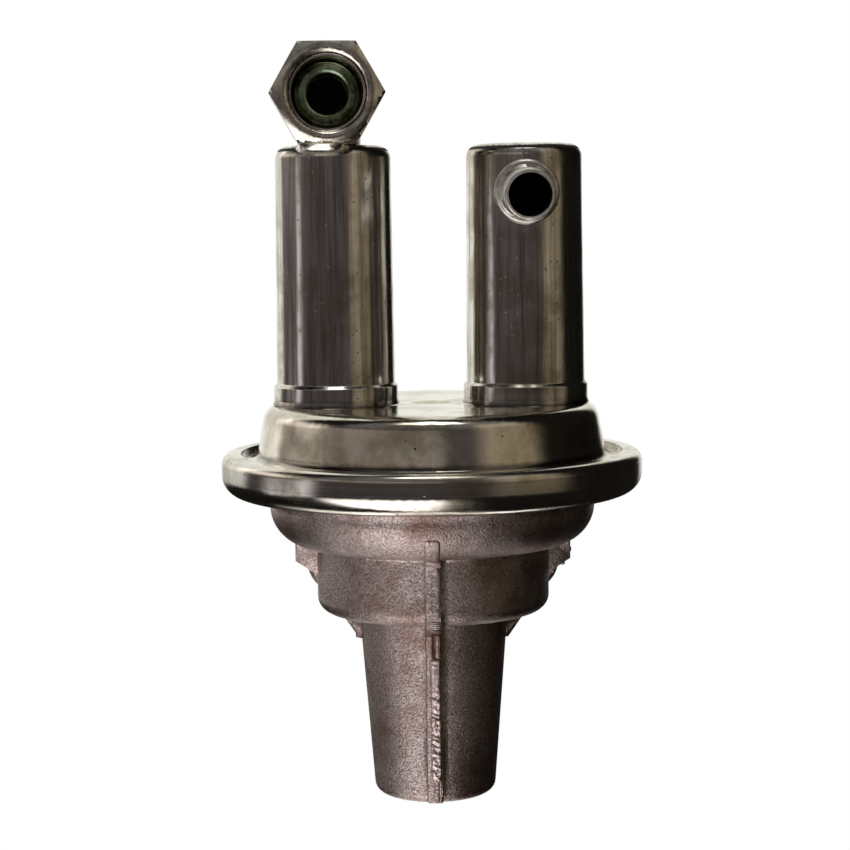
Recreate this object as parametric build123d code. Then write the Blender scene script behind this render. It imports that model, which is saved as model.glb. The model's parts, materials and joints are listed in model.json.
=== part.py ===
from build123d import *

import os
from math import cos, radians, sin, tan

# Mechanical fuel pump, diaphragm type, worked by a rocker arm on the engine's cam.
# All sizes are in millimetres. The pump is built about its own axis, the Z axis,
# with z = 0 at the underside of the nose and +Y towards the engine.
# Each piece is then moved so that the origin lies on the engine face, midway between the bolts.

# Cast housing: a bowl over a cup over a tapered nose
NOSE_LENGTH = 36.7
NOSE_TIP_RADIUS = 11.9
NOSE_ROOT_RADIUS = 14.75
NOSE_CORNER = 2.0
CUP_RADIUS = 22.9
CUP_HEIGHT = 13.4
CUP_CORNER = 2.8
BOWL_RADIUS = 32.0
BOWL_HEIGHT = 10.0
BOWL_CORNER = 7.6
CAST_WALL = 2.8
CAST_FILLET = 0.8
RIM_THICKNESS = 4.1
ROD_HOLE_RADIUS = 5.0
VENT_RADIUS = 1.5
VENT_TURN = -40.0
RIB_WIDTH = 2.8
RIB_HEIGHT = 0.9
RIB_ROOT = 1.0
GUSSET_WIDTH = 3.0
BOWL_GUSSET_SHARE = 0.47
BOWL_GUSSET_HEIGHT = 3.6
BOWL_GUSSET_SLOPE = 2.8
CUP_GUSSET_SHARE = 0.39
CUP_GUSSET_HEIGHT = 1.2
CUP_GUSSET_SLOPE = 4.6

# Crimp ring, cover and diaphragm, clamped together at the rim
RIM_WIDTH = 9.3
RING_SHEET = 1.0
RING_TOP_CORNER = 1.8
RING_FOOT_CORNER = 3.9
RING_TOP_LIP = 3.7
RING_FOOT_GAP = 3.5
RIM_GAP = 0.1
COVER_SHEET = 1.2
COVER_HEIGHT = 11.6
COVER_LEDGE = 6.9
COVER_TAPER = 1.9
COVER_CORNER = 3.2
COVER_FOOT_FILLET = 1.8
DIMPLE_RADIUS = 4.2
DIMPLE_DEPTH = 0.6
DIAPHRAGM_SHEET = 0.8
DIAPHRAGM_RISE = 4.4
DIAPHRAGM_INSET = 0.5
CONVOLUTION_WIDTH = 7.5

# Cans on the cover's two necks
CAN_INSET = 1.65
CAN_HEIGHT = 50.3
CAN_FOOT_RADIUS = 11.6
CAN_TOP_RADIUS = 11.25
CAN_SHEET = 0.8
CAN_CORNER = 2.4
BELL_STEP = 0.6
BELL_FLARE = 0.3
BELL_FLARE_HEIGHT = 0.9
BELL_HEIGHT = 3.9
NECK_SHEET = 1.2
NECK_HEIGHT = 2.9
NECK_GAP = 0.05

# Hose nipple near the top of the inlet can
NIPPLE_RADIUS = 4.75
NIPPLE_WALL = 0.7
NIPPLE_DROP = 8.8
NIPPLE_REACH = 26.0
NIPPLE_INNER_REACH = 8.5
NIPPLE_TILT = 3.0
NIPPLE_GAP = 0.05
BEAD_RADIUS = 6.2
BEAD_REACH = 12.9

# Hexagon outlet fitting brazed on the outlet can, with an inverted flare port
HEX_FLATS = 19.05
HEX_FRONT = 16.2
HEX_BACK = 8.0
HEX_TURN = 3.0
HEX_OUTSET = 0.95
HEX_CHAMFER = 0.75
PORT_RADIUS = 7.2
PORT_DEPTH = 8.6
PORT_LEAD = 0.7
SEAT_RECESS_RADIUS = 6.6
SEAT_CONE_HEIGHT = 2.4
SEAT_CONE_BASE = 6.4
SEAT_CONE_TIP = 4.4
SEAT_SHANK_RADIUS = 5.0
SEAT_SHANK_LENGTH = 2.4
SEAT_BORE_RADIUS = 3.8
SPIGOT_RADIUS = 5.5
SPIGOT_LENGTH = 2.6
SPIGOT_GAP = 0.05
DRILLING_RADIUS = 3.0

# Engine flange and the neck that joins it to the nose
FLANGE_REACH = 45.0
FLANGE_THICKNESS = 8.0
BOLT_RISE = 3.1
BOLT_SPACING = 41.2
BOLT_HOLE_RADIUS = 4.3
EAR_RADIUS = 6.6
LOBE_RADIUS = 12.5
LOBE_RISE = 2.0
WAIST_FILLET = 5.0
FLANGE_EDGE = 0.8
NECK_BOX_HALF_WIDTH = 11.9
NECK_BOX_DEPTH = 13.5
NECK_BOX_DROP = 2.4
NECK_BOX_WALL = 2.6
NECK_BOX_CORNER = 3.5
SPRING_POCKET_RADIUS = 5.6
SPRING_POCKET_DROP = 0.8

# Rocker arm, link and their pin. The swing is shared evenly about the level.
PIN_RADIUS = 3.0
PIN_REACH = 15.0
PIN_DROP = 14.9
PIN_CLEARANCE = 0.06
SWING = 14.0
ARM_HUB_RADIUS = 6.5
ARM_CHEEK = 2.6
ARM_HALF_HEIGHT = 4.0
ARM_HALF_WIDTH = 5.8
ARM_LENGTH = 64.0
ARM_WEB_START = 8.2
ARM_BEAM_START = 22.0
PAD_HALF_WIDTH = 6.6
PAD_RADIUS = 14.0
PAD_LENGTH = 13.0
PAD_DEPTH = 2.6
LINK_HALF_WIDTH = 6.0
LINK_SLOT_HALF_WIDTH = 3.2
LINK_SLOT_DEPTH = 8.0
LINK_HUB_RADIUS = 5.5
LINK_NOSE_RADIUS = 2.5
LINK_TOP = 2.3
LINK_UNDERSIDE = 0.9
HEEL_LENGTH = 11.4
HEEL_TOP = 3.8
HEEL_UNDERSIDE = 1.15
SIDE_GAP = 0.3
CONTACT_GAP = 0.15
SPRING_NUB_RADIUS = 2.2
SPRING_NUB_HEIGHT = 1.0

# Pull rod, diaphragm plates, spring and oil seal
ROD_RADIUS = 2.4
ROD_HEAD_RADIUS = 4.0
ROD_HEAD_HEIGHT = 1.2
ROD_COLLAR_HEIGHT = 1.5
CROSS_HEAD_RADIUS = 6.2
CROSS_HEAD_HEIGHT = 2.5
PLATE_INSET = 1.5
PLATE_SHEET = 1.2
PLATE_SKIRT = 3.0
PLATE_GAP = 0.05
SEAL_RADIUS = 7.5
SEAL_HEIGHT = 3.0
SEAL_GAP = 0.08
RETAINER_SHEET = 0.8
RETAINER_GAP = 4.6
MAIN_SPRING_WIRE = 1.1
MAIN_SPRING_TURNS = 5
ARM_SPRING_RADIUS = 3.9
ARM_SPRING_WIRE = 0.6
ARM_SPRING_TURNS = 4
WIRE_FLAT_COUNT = 4

# Valves, one in each neck of the cover
VALVE_SEAT_THICKNESS = 2.0
VALVE_SEAT_GAP = 0.05
VALVE_SEAT_LEVEL = 0.6
VALVE_PORTS = 6
VALVE_PORT_RADIUS = 1.6
VALVE_PORT_CIRCLE = 5.0
VALVE_DISC_RADIUS = 7.8
VALVE_DISC_THICKNESS = 1.0
VALVE_REST_GAP = 0.1
VALVE_STEM_RADIUS = 1.2
VALVE_STEM_CLEARANCE = 0.15
VALVE_BUTTON_RADIUS = 3.2
VALVE_BUTTON_HEIGHT = 0.8
VALVE_RIVET_RADIUS = 2.4
VALVE_SPRING_LENGTH = 3.2
VALVE_SPRING_RADIUS = 2.4
VALVE_SPRING_WIRE = 0.25
VALVE_SPRING_TURNS = 3

# Cutting shapes run this far past a face
CUT_MARGIN = 1.0

# Most of an edge that the roundings at its two ends may take
EDGE_SHARE = 0.98

# Radii worked out from the sizes above
RING_RADIUS = BOWL_RADIUS + RIM_WIDTH
RIM_RADIUS = RING_RADIUS - RING_SHEET - RIM_GAP
RING_FOOT_RADIUS = BOWL_RADIUS + RING_FOOT_GAP
COVER_FOOT_RADIUS = RING_RADIUS - COVER_LEDGE
COVER_TOP_RADIUS = COVER_FOOT_RADIUS - COVER_TAPER
DIAPHRAGM_FREE_RADIUS = BOWL_RADIUS - DIAPHRAGM_INSET
DIAPHRAGM_CORE_RADIUS = DIAPHRAGM_FREE_RADIUS - CONVOLUTION_WIDTH
PLATE_RADIUS = DIAPHRAGM_CORE_RADIUS - PLATE_INSET
BELL_RADIUS = CAN_FOOT_RADIUS + BELL_STEP
CAN_OFFSET = COVER_TOP_RADIUS - BELL_RADIUS - CAN_INSET
NECK_RADIUS = BELL_RADIUS - CAN_SHEET - NECK_GAP
RETAINER_CAP_RADIUS = SEAL_RADIUS + RETAINER_SHEET
RETAINER_FLANGE_RADIUS = CUP_RADIUS - CAST_WALL - RETAINER_GAP
MAIN_SPRING_RADIUS = (RETAINER_CAP_RADIUS + RETAINER_FLANGE_RADIUS) / 2

# Levels worked out from the sizes above
CUP_LEVEL = NOSE_LENGTH
BOWL_LEVEL = CUP_LEVEL + CUP_HEIGHT
RING_FOOT_LEVEL = BOWL_LEVEL + BOWL_HEIGHT
RIM_LEVEL = RING_FOOT_LEVEL + RING_SHEET
DIAPHRAGM_LEVEL = RIM_LEVEL + RIM_THICKNESS
COVER_LEVEL = DIAPHRAGM_LEVEL + DIAPHRAGM_SHEET
LIP_LEVEL = COVER_LEVEL + COVER_SHEET
COVER_TOP = COVER_LEVEL + COVER_HEIGHT
CAN_TOP = COVER_TOP + CAN_HEIGHT
CUP_FLOOR = CUP_LEVEL + CAST_WALL
BOLT_LEVEL = CUP_LEVEL + BOLT_RISE
PIN_LEVEL = CUP_LEVEL - PIN_DROP
NECK_BOX_FOOT = PIN_LEVEL - NECK_BOX_DEPTH
NECK_BOX_TOP = CUP_LEVEL - NECK_BOX_DROP
SPRING_POCKET_TOP = CUP_LEVEL - SPRING_POCKET_DROP
LOBE_LEVEL = NECK_BOX_FOOT + LOBE_RISE
CORE_LEVEL = DIAPHRAGM_LEVEL + DIAPHRAGM_RISE
LOWER_PLATE_LEVEL = CORE_LEVEL - PLATE_GAP - PLATE_SHEET
UPPER_PLATE_LEVEL = CORE_LEVEL + DIAPHRAGM_SHEET + PLATE_GAP
HALF_SWING = radians(SWING / 2)
NOSE_CONTACT_LEVEL = PIN_LEVEL + PIN_REACH * sin(HALF_SWING) - LINK_NOSE_RADIUS
CROSS_HEAD_TOP = NOSE_CONTACT_LEVEL - CONTACT_GAP
HEX_LEVEL = CAN_TOP + HEX_FLATS / 2
SEAT_FLOOR = -PORT_DEPTH - SEAT_CONE_HEIGHT
CHEEK_INNER = LINK_HALF_WIDTH + SIDE_GAP
CHEEK_OUTER = CHEEK_INNER + ARM_CHEEK
THROAT_HALF_WIDTH = NECK_BOX_HALF_WIDTH - NECK_BOX_WALL


def fitted_roundings(corners):
    """Roundings of a closed outline, none larger than its corner's two edges can hold."""
    points = [Vector(radius, height) for radius, height, _ in corners]
    edges = [after - point for point, after in zip(points, points[1:] + points[:1])]
    tangents = [
        rounding * tan(radians(before.get_angle(edge)) / 2)
        for (_, _, rounding), before, edge in zip(corners, edges[-1:] + edges[:-1], edges)
    ]
    shares = [
        min(1, EDGE_SHARE * edge.length / max(near + far, EDGE_SHARE * edge.length))
        for edge, near, far in zip(edges, tangents, tangents[1:] + tangents[:1])
    ]
    return [
        rounding * min(before, after)
        for (_, _, rounding), before, after in zip(corners, shares[-1:] + shares[:-1], shares)
    ]


def turned(*corners):
    """Turns a closed outline about the Z axis. Each corner is radius, height, rounding."""
    outline = FilletPolyline(
        *[(radius, height) for radius, height, _ in corners],
        radius=fitted_roundings(corners),
        close=True,
    )
    return revolve(make_face(Plane.XZ * outline), Axis.Z)


def rod(radius, start, end):
    """Round bar along Z between two levels."""
    return Pos(0, 0, start) * Cylinder(radius, end - start, align=(Align.CENTER, Align.CENTER, Align.MIN))


def block(x_range, y_range, z_range):
    """Box between two values on each axis."""
    lows, highs = zip(x_range, y_range, z_range)
    sizes = [high - low for low, high in zip(lows, highs)]
    return Pos(*lows) * Box(*sizes, align=(Align.MIN, Align.MIN, Align.MIN))


def side_plate(points, half_width):
    """Plate cut to an outline in the YZ plane, centred on x = 0."""
    return extrude(make_face(Plane.YZ * Polyline(*points, close=True)), half_width, both=True)


def cross_bar(radius, half_width, y, z):
    """Round bar along X, centred on x = 0."""
    return Pos(0, y, z) * Rot(0, 90, 0) * Cylinder(radius, 2 * half_width)


def coil_spring(radius, wire, turns, foot, head):
    """Compression spring along Z with its two ends ground flat on its seats.

    The springs are all sealed in, so their wire is drawn with four flats.
    """
    height = head - foot - wire
    path = Helix(height / turns, height, radius)
    section = RegularPolygon(wire, WIRE_FLAT_COUNT)
    coil = sweep(Plane(path @ 0, z_dir=path % 0) * section, path=path, is_frenet=True)
    coil = Pos(0, 0, foot + wire / 2) * coil
    outer = radius + 2 * wire
    return coil & block((-outer, outer), (-outer, outer), (foot, head))


def housing_body():
    """Turned form of the casting, hollow from rim to nose."""
    bowl_floor = BOWL_LEVEL + CAST_WALL
    return turned(
        (0, 0, 0),
        (NOSE_TIP_RADIUS, 0, NOSE_CORNER),
        (NOSE_ROOT_RADIUS, CUP_LEVEL, CAST_FILLET),
        (CUP_RADIUS, CUP_LEVEL, CUP_CORNER),
        (CUP_RADIUS, BOWL_LEVEL, CAST_FILLET),
        (BOWL_RADIUS, BOWL_LEVEL, BOWL_CORNER),
        (BOWL_RADIUS, RIM_LEVEL, 0),
        (RIM_RADIUS, RIM_LEVEL, RING_FOOT_CORNER - RING_SHEET),
        (RIM_RADIUS, DIAPHRAGM_LEVEL, 0),
        (BOWL_RADIUS - CAST_WALL, DIAPHRAGM_LEVEL, 0),
        (BOWL_RADIUS - CAST_WALL, bowl_floor, BOWL_CORNER - CAST_WALL),
        (CUP_RADIUS - CAST_WALL, bowl_floor, 0),
        (CUP_RADIUS - CAST_WALL, CUP_FLOOR, 0),
        (ROD_HOLE_RADIUS, CUP_FLOOR, 0),
        (ROD_HOLE_RADIUS, CUP_LEVEL, 0),
        (NOSE_ROOT_RADIUS - CAST_WALL, CUP_LEVEL, 0),
        (NOSE_TIP_RADIUS - CAST_WALL, CAST_WALL, 0),
        (0, CAST_WALL, 0),
    )


def front_rib():
    """Rib that runs down the casting's parting line, over bowl, cup and nose."""
    cup_face = CUP_RADIUS + RIB_HEIGHT
    bowl_flat = max(BOWL_RADIUS - BOWL_CORNER, cup_face + CAST_FILLET / 2)
    nose_root = NOSE_ROOT_RADIUS + RIB_HEIGHT
    outline = FilletPolyline(
        (bowl_flat, BOWL_LEVEL + RIB_ROOT),
        (bowl_flat + RIB_ROOT, BOWL_LEVEL - RIB_HEIGHT / 2),
        (cup_face, BOWL_LEVEL - 2 * RIB_HEIGHT),
        (cup_face, CUP_LEVEL - RIB_HEIGHT),
        (nose_root, CUP_LEVEL - 2 * RIB_HEIGHT),
        (NOSE_TIP_RADIUS + RIB_HEIGHT, 0),
        (NOSE_TIP_RADIUS - NOSE_CORNER, 0),
        (NOSE_ROOT_RADIUS - RIB_ROOT, CUP_LEVEL + RIB_ROOT),
        (CUP_RADIUS - RIB_ROOT, CUP_LEVEL + RIB_ROOT),
        (CUP_RADIUS - RIB_ROOT, BOWL_LEVEL + RIB_ROOT),
        radius=[0, 0, RIB_HEIGHT, CUP_CORNER, RIB_HEIGHT, NOSE_CORNER, 0, 0, 0, 0],
        close=True,
    )
    rib = extrude(make_face(Plane.XZ * outline), RIB_WIDTH / 2, both=True)
    return Rot(0, 0, -90) * rib


def gusset(wall_radius, step_radius, share, top, height, slope):
    """Thin web at the side of the casting that props a share of the step above it."""
    inner = wall_radius - RIB_ROOT
    outer = wall_radius + share * (step_radius - wall_radius)
    outline = Polyline(
        (inner, top + RIB_ROOT),
        (outer, top + RIB_ROOT),
        (outer, top - height),
        (wall_radius, top - height - slope),
        (inner, top - height - slope),
        close=True,
    )
    return extrude(make_face(Plane.XZ * outline), GUSSET_WIDTH / 2, both=True)


def flange_plate():
    """Engine flange: a bar with round ears for the bolts, waisted into a round lower lobe."""
    ears = Pos(0, BOLT_LEVEL) * SlotCenterToCenter(BOLT_SPACING, 2 * EAR_RADIUS)
    lobe = Pos(0, LOBE_LEVEL) * Circle(LOBE_RADIUS)
    stem = Pos(0, (BOLT_LEVEL + LOBE_LEVEL) / 2) * Rectangle(2 * LOBE_RADIUS, BOLT_LEVEL - LOBE_LEVEL)
    outline = ears + lobe + stem
    waist = BOLT_LEVEL - EAR_RADIUS
    corners = [
        vertex
        for vertex in outline.vertices()
        if abs(vertex.Y - waist) < 1e-3 and abs(abs(vertex.X) - LOBE_RADIUS) < 1e-3
    ]
    outline = fillet(corners, WAIST_FILLET)
    front = Plane(origin=(0, FLANGE_REACH - FLANGE_THICKNESS, 0), x_dir=(1, 0, 0), z_dir=(0, -1, 0))
    plate = extrude(front * outline, FLANGE_THICKNESS, dir=(0, 1, 0))
    return chamfer(plate.faces().sort_by(Axis.Y)[0].edges(), FLANGE_EDGE)


def neck_box(half_width, foot, top, start, end, corner):
    """Bar of rounded square section along Y."""
    section = RectangleRounded(2 * half_width, top - foot, corner)
    face = Plane(origin=(0, start, (foot + top) / 2), x_dir=(1, 0, 0), z_dir=(0, -1, 0)) * section
    return extrude(face, end - start, dir=(0, 1, 0))


def spring_axis():
    """Distance of the arm spring from the pump axis, over its nub on the arm."""
    return PIN_REACH + PIN_REACH * cos(HALF_SWING) + ARM_HALF_HEIGHT * sin(HALF_SWING)


def lower_housing():
    """Casting with its rib, gussets, neck and engine flange."""
    neck_end = FLANGE_REACH - FLANGE_EDGE
    body = housing_body()
    body += front_rib()
    for side in (0, 180):
        body += Rot(0, 0, side) * gusset(
            CUP_RADIUS, BOWL_RADIUS, BOWL_GUSSET_SHARE, BOWL_LEVEL, BOWL_GUSSET_HEIGHT, BOWL_GUSSET_SLOPE
        )
        body += Rot(0, 0, side) * gusset(
            NOSE_ROOT_RADIUS, CUP_RADIUS, CUP_GUSSET_SHARE, CUP_LEVEL, CUP_GUSSET_HEIGHT, CUP_GUSSET_SLOPE
        )
    neck = neck_box(NECK_BOX_HALF_WIDTH, NECK_BOX_FOOT, NECK_BOX_TOP, 0, neck_end, NECK_BOX_CORNER)
    pocket_wall = rod(SPRING_POCKET_RADIUS + NECK_BOX_WALL, PIN_LEVEL, SPRING_POCKET_TOP + NECK_BOX_WALL)
    outside = neck + Pos(0, spring_axis(), 0) * pocket_wall + flange_plate()
    nose_room = turned(
        (0, CAST_WALL, 0),
        (NOSE_TIP_RADIUS - CAST_WALL, CAST_WALL, 0),
        (NOSE_ROOT_RADIUS - CAST_WALL, CUP_LEVEL, 0),
        (0, CUP_LEVEL, 0),
    )
    throat = neck_box(
        THROAT_HALF_WIDTH,
        NECK_BOX_FOOT + NECK_BOX_WALL,
        NECK_BOX_TOP - NECK_BOX_WALL,
        0,
        FLANGE_REACH + CUT_MARGIN,
        NECK_BOX_CORNER - FLANGE_EDGE,
    )
    pocket = Pos(0, spring_axis(), 0) * rod(SPRING_POCKET_RADIUS, PIN_LEVEL, SPRING_POCKET_TOP)
    body = body + outside - nose_room - throat - pocket
    body -= cross_bar(PIN_RADIUS, 2 * NECK_BOX_HALF_WIDTH, PIN_REACH, PIN_LEVEL)
    for side in (-1, 1):
        hole = Rot(90, 0, 0) * Cylinder(BOLT_HOLE_RADIUS, 2 * (FLANGE_THICKNESS + CUT_MARGIN))
        body -= Pos(side * BOLT_SPACING / 2, FLANGE_REACH, BOLT_LEVEL) * hole
    vent = Rot(90, 0, 0) * Cylinder(VENT_RADIUS, 2 * (CAST_WALL + CUT_MARGIN))
    return body - Rot(0, 0, VENT_TURN) * Pos(0, BOWL_RADIUS, RIM_LEVEL - 2 * VENT_RADIUS) * vent


def crimp_ring():
    """Rolled ring of C section that grips the rim stack."""
    ring_top = LIP_LEVEL + RING_SHEET
    inner = RING_RADIUS - RING_SHEET
    return turned(
        (RING_RADIUS - RING_TOP_LIP, ring_top, 0),
        (RING_RADIUS, ring_top, RING_TOP_CORNER),
        (RING_RADIUS, RING_FOOT_LEVEL, RING_FOOT_CORNER),
        (RING_FOOT_RADIUS, RING_FOOT_LEVEL, 0),
        (RING_FOOT_RADIUS, RIM_LEVEL, 0),
        (inner, RIM_LEVEL, RING_FOOT_CORNER - RING_SHEET),
        (inner, LIP_LEVEL, RING_TOP_CORNER - RING_SHEET),
        (RING_RADIUS - RING_TOP_LIP, LIP_LEVEL, 0),
    )


def top_cover():
    """Pressed dome with a dimple in the middle and two upstanding necks."""
    under = COVER_TOP - COVER_SHEET
    dimple_floor = DIMPLE_RADIUS - 2 * DIMPLE_DEPTH
    dome = turned(
        (RIM_RADIUS, COVER_LEVEL, 0),
        (RIM_RADIUS, LIP_LEVEL, RING_TOP_CORNER - RING_SHEET),
        (COVER_FOOT_RADIUS, LIP_LEVEL, COVER_FOOT_FILLET),
        (COVER_TOP_RADIUS, COVER_TOP, COVER_CORNER),
        (DIMPLE_RADIUS, COVER_TOP, DIMPLE_DEPTH),
        (dimple_floor, COVER_TOP - DIMPLE_DEPTH, DIMPLE_DEPTH),
        (0, COVER_TOP - DIMPLE_DEPTH, 0),
        (0, under - DIMPLE_DEPTH, 0),
        (dimple_floor, under - DIMPLE_DEPTH, 0),
        (DIMPLE_RADIUS, under, 0),
        (COVER_TOP_RADIUS - COVER_SHEET, under, COVER_CORNER - COVER_SHEET),
        (COVER_FOOT_RADIUS - COVER_SHEET, COVER_LEVEL, COVER_FOOT_FILLET + COVER_SHEET),
    )
    neck_outer = rod(NECK_RADIUS, under, COVER_TOP + NECK_HEIGHT)
    neck_inner = rod(NECK_RADIUS - NECK_SHEET, under - COVER_SHEET, CAN_TOP)
    for side in (-1, 1):
        dome += Pos(side * CAN_OFFSET, 0, 0) * neck_outer
    for side in (-1, 1):
        dome -= Pos(side * CAN_OFFSET, 0, 0) * neck_inner
    return dome


def can_outline():
    """Outer corners of a can, from its belled foot to its closed top."""
    return (
        (BELL_RADIUS + BELL_FLARE, COVER_TOP, 0),
        (BELL_RADIUS, COVER_TOP + BELL_FLARE_HEIGHT, BELL_FLARE),
        (BELL_RADIUS, COVER_TOP + BELL_HEIGHT - BELL_STEP / 2, BELL_STEP / 2),
        (CAN_FOOT_RADIUS, COVER_TOP + BELL_HEIGHT + BELL_STEP / 2, BELL_STEP / 2),
        (CAN_TOP_RADIUS, CAN_TOP, CAN_CORNER),
    )


def can_envelope():
    """Can with no hollow, for cutting what sits against its wall."""
    return turned(*can_outline(), (0, CAN_TOP, 0), (0, COVER_TOP, 0))


def can_shell():
    """Drawn can of thin sheet, open at its belled foot."""
    sheet = CAN_SHEET
    return turned(
        *can_outline(),
        (0, CAN_TOP, 0),
        (0, CAN_TOP - sheet, 0),
        (CAN_TOP_RADIUS - sheet, CAN_TOP - sheet, CAN_CORNER - sheet),
        (CAN_FOOT_RADIUS - sheet, COVER_TOP + BELL_HEIGHT + BELL_STEP / 2, 0),
        (BELL_RADIUS - sheet, COVER_TOP + BELL_HEIGHT - BELL_STEP / 2, 0),
        (BELL_RADIUS - sheet, COVER_TOP, 0),
    )


def nipple_place():
    """Frame on the inlet can's axis at nipple height, with +Z out along the nipple."""
    tilt = radians(NIPPLE_TILT)
    return Plane(
        origin=(CAN_OFFSET, 0, CAN_TOP - NIPPLE_DROP),
        x_dir=(1, 0, 0),
        z_dir=(0, -cos(tilt), -sin(tilt)),
    )


def inlet_can():
    """Right can, with a hole in its wall for the nipple."""
    hole = nipple_place().location * rod(NIPPLE_RADIUS + NIPPLE_GAP, 0, NIPPLE_REACH)
    return Pos(CAN_OFFSET, 0, 0) * can_shell() - hole


def outlet_can():
    """Left can, with a hole in its top for the fitting's spigot."""
    hole = rod(SPIGOT_RADIUS + SPIGOT_GAP, CAN_TOP - 2 * CAN_SHEET, CAN_TOP + CAN_SHEET)
    return Pos(-CAN_OFFSET, 0, 0) * (can_shell() - hole)


def inlet_nipple():
    """Hose tube with a bead that sits on the can wall."""
    tube = rod(NIPPLE_RADIUS, NIPPLE_INNER_REACH, NIPPLE_REACH)
    lip = tube.edges().sort_by(Axis.Z)[-1]
    tube = fillet(lip, NIPPLE_WALL / 2)
    bead_face = turned(
        (0, 0, 0),
        (BEAD_RADIUS, 0, 0),
        (BEAD_RADIUS, BEAD_REACH, NIPPLE_WALL),
        (0, BEAD_REACH, 0),
    )
    bead = nipple_place().location * bead_face - Pos(CAN_OFFSET, 0, 0) * can_envelope()
    bead = bead.solids().sort_by(Axis.Y)[0]
    bore = nipple_place().location * rod(NIPPLE_RADIUS - NIPPLE_WALL, 0, NIPPLE_REACH + CUT_MARGIN)
    return nipple_place().location * tube + bead - bore


def port_place():
    """Frame at the centre of the fitting's front face, with +Z out of the port."""
    turn = radians(HEX_TURN)
    outward = Vector(sin(turn), -cos(turn), 0)
    return Plane(
        origin=Vector(-CAN_OFFSET - HEX_OUTSET, 0, HEX_LEVEL) + outward * HEX_FRONT,
        x_dir=(cos(turn), sin(turn), 0),
        z_dir=outward,
    )


def outlet_fitting():
    """Hexagon bar with chamfered ends, a threaded port, and a spigot down into the can."""
    length = HEX_FRONT + HEX_BACK
    corner_radius = HEX_FLATS / 3**0.5
    bar = Pos(0, 0, -length) * extrude(RegularPolygon(HEX_FLATS / 2, 6, major_radius=False), length)
    if bar.bounding_box().size.Y > bar.bounding_box().size.X:
        bar = Rot(0, 0, 30) * bar
    face_radius = HEX_FLATS / 2 - HEX_CHAMFER
    ends = turned(
        (0, -length, 0),
        (face_radius, -length, 0),
        (corner_radius + HEX_CHAMFER, -length + (corner_radius - face_radius + HEX_CHAMFER) / 2, 0),
        (corner_radius + HEX_CHAMFER, -(corner_radius - face_radius + HEX_CHAMFER) / 2, 0),
        (face_radius, 0, 0),
        (0, 0, 0),
    )
    bores = turned(
        (0, CUT_MARGIN, 0),
        (PORT_RADIUS + PORT_LEAD + CUT_MARGIN, CUT_MARGIN, 0),
        (PORT_RADIUS, -PORT_LEAD, 0),
        (PORT_RADIUS, -PORT_DEPTH, 0),
        (SEAT_RECESS_RADIUS, -PORT_DEPTH, 0),
        (SEAT_RECESS_RADIUS, SEAT_FLOOR, 0),
        (SEAT_SHANK_RADIUS, SEAT_FLOOR, 0),
        (SEAT_SHANK_RADIUS, SEAT_FLOOR - SEAT_SHANK_LENGTH, 0),
        (SEAT_BORE_RADIUS, SEAT_FLOOR - SEAT_SHANK_LENGTH, 0),
        (SEAT_BORE_RADIUS, -HEX_FRONT - DRILLING_RADIUS, 0),
        (0, -HEX_FRONT - DRILLING_RADIUS, 0),
    )
    spigot = rod(SPIGOT_RADIUS, CAN_TOP - SPIGOT_LENGTH, HEX_LEVEL - PORT_RADIUS)
    drilling = rod(DRILLING_RADIUS, CAN_TOP - 2 * SPIGOT_LENGTH, HEX_LEVEL)
    axis = Pos(-CAN_OFFSET, 0, 0)
    return port_place().location * (bar & ends) + axis * spigot - port_place().location * bores - axis * drilling


def flare_seat():
    """Coned seat pressed into the bottom of the port."""
    return port_place().location * turned(
        (SEAT_BORE_RADIUS, SEAT_FLOOR - SEAT_SHANK_LENGTH, 0),
        (SEAT_SHANK_RADIUS, SEAT_FLOOR - SEAT_SHANK_LENGTH, 0),
        (SEAT_SHANK_RADIUS, SEAT_FLOOR, 0),
        (SEAT_CONE_BASE, SEAT_FLOOR, 0),
        (SEAT_CONE_TIP, SEAT_FLOOR + SEAT_CONE_HEIGHT, 0),
        (SEAT_BORE_RADIUS, SEAT_FLOOR + SEAT_CONE_HEIGHT, 0),
    )


def diaphragm():
    """Moulded diaphragm: flat rim, one convolution and a raised flat middle."""
    core_top = CORE_LEVEL + DIAPHRAGM_SHEET
    bend = DIAPHRAGM_RISE / 2
    return turned(
        (RIM_RADIUS, DIAPHRAGM_LEVEL, 0),
        (RIM_RADIUS, COVER_LEVEL, 0),
        (DIAPHRAGM_FREE_RADIUS, COVER_LEVEL, bend),
        (DIAPHRAGM_CORE_RADIUS, core_top, bend),
        (ROD_RADIUS + SIDE_GAP, core_top, 0),
        (ROD_RADIUS + SIDE_GAP, CORE_LEVEL, 0),
        (DIAPHRAGM_CORE_RADIUS, CORE_LEVEL, bend),
        (DIAPHRAGM_FREE_RADIUS, DIAPHRAGM_LEVEL, bend),
    )


def upper_plate():
    """Flat plate on top of the diaphragm."""
    top = UPPER_PLATE_LEVEL + PLATE_SHEET
    return turned(
        (ROD_RADIUS, UPPER_PLATE_LEVEL, 0),
        (PLATE_RADIUS, UPPER_PLATE_LEVEL, 0),
        (PLATE_RADIUS, top, PLATE_SHEET / 2),
        (ROD_RADIUS, top, 0),
    )


def lower_plate():
    """Plate under the diaphragm with its edge turned down."""
    top = LOWER_PLATE_LEVEL + PLATE_SHEET
    skirt_foot = LOWER_PLATE_LEVEL - PLATE_SKIRT
    return turned(
        (ROD_RADIUS, LOWER_PLATE_LEVEL, 0),
        (PLATE_RADIUS - PLATE_SHEET, LOWER_PLATE_LEVEL, PLATE_SHEET / 2),
        (PLATE_RADIUS - PLATE_SHEET, skirt_foot, 0),
        (PLATE_RADIUS, skirt_foot, 0),
        (PLATE_RADIUS, top, PLATE_SHEET),
        (ROD_RADIUS, top, 0),
    )


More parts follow.
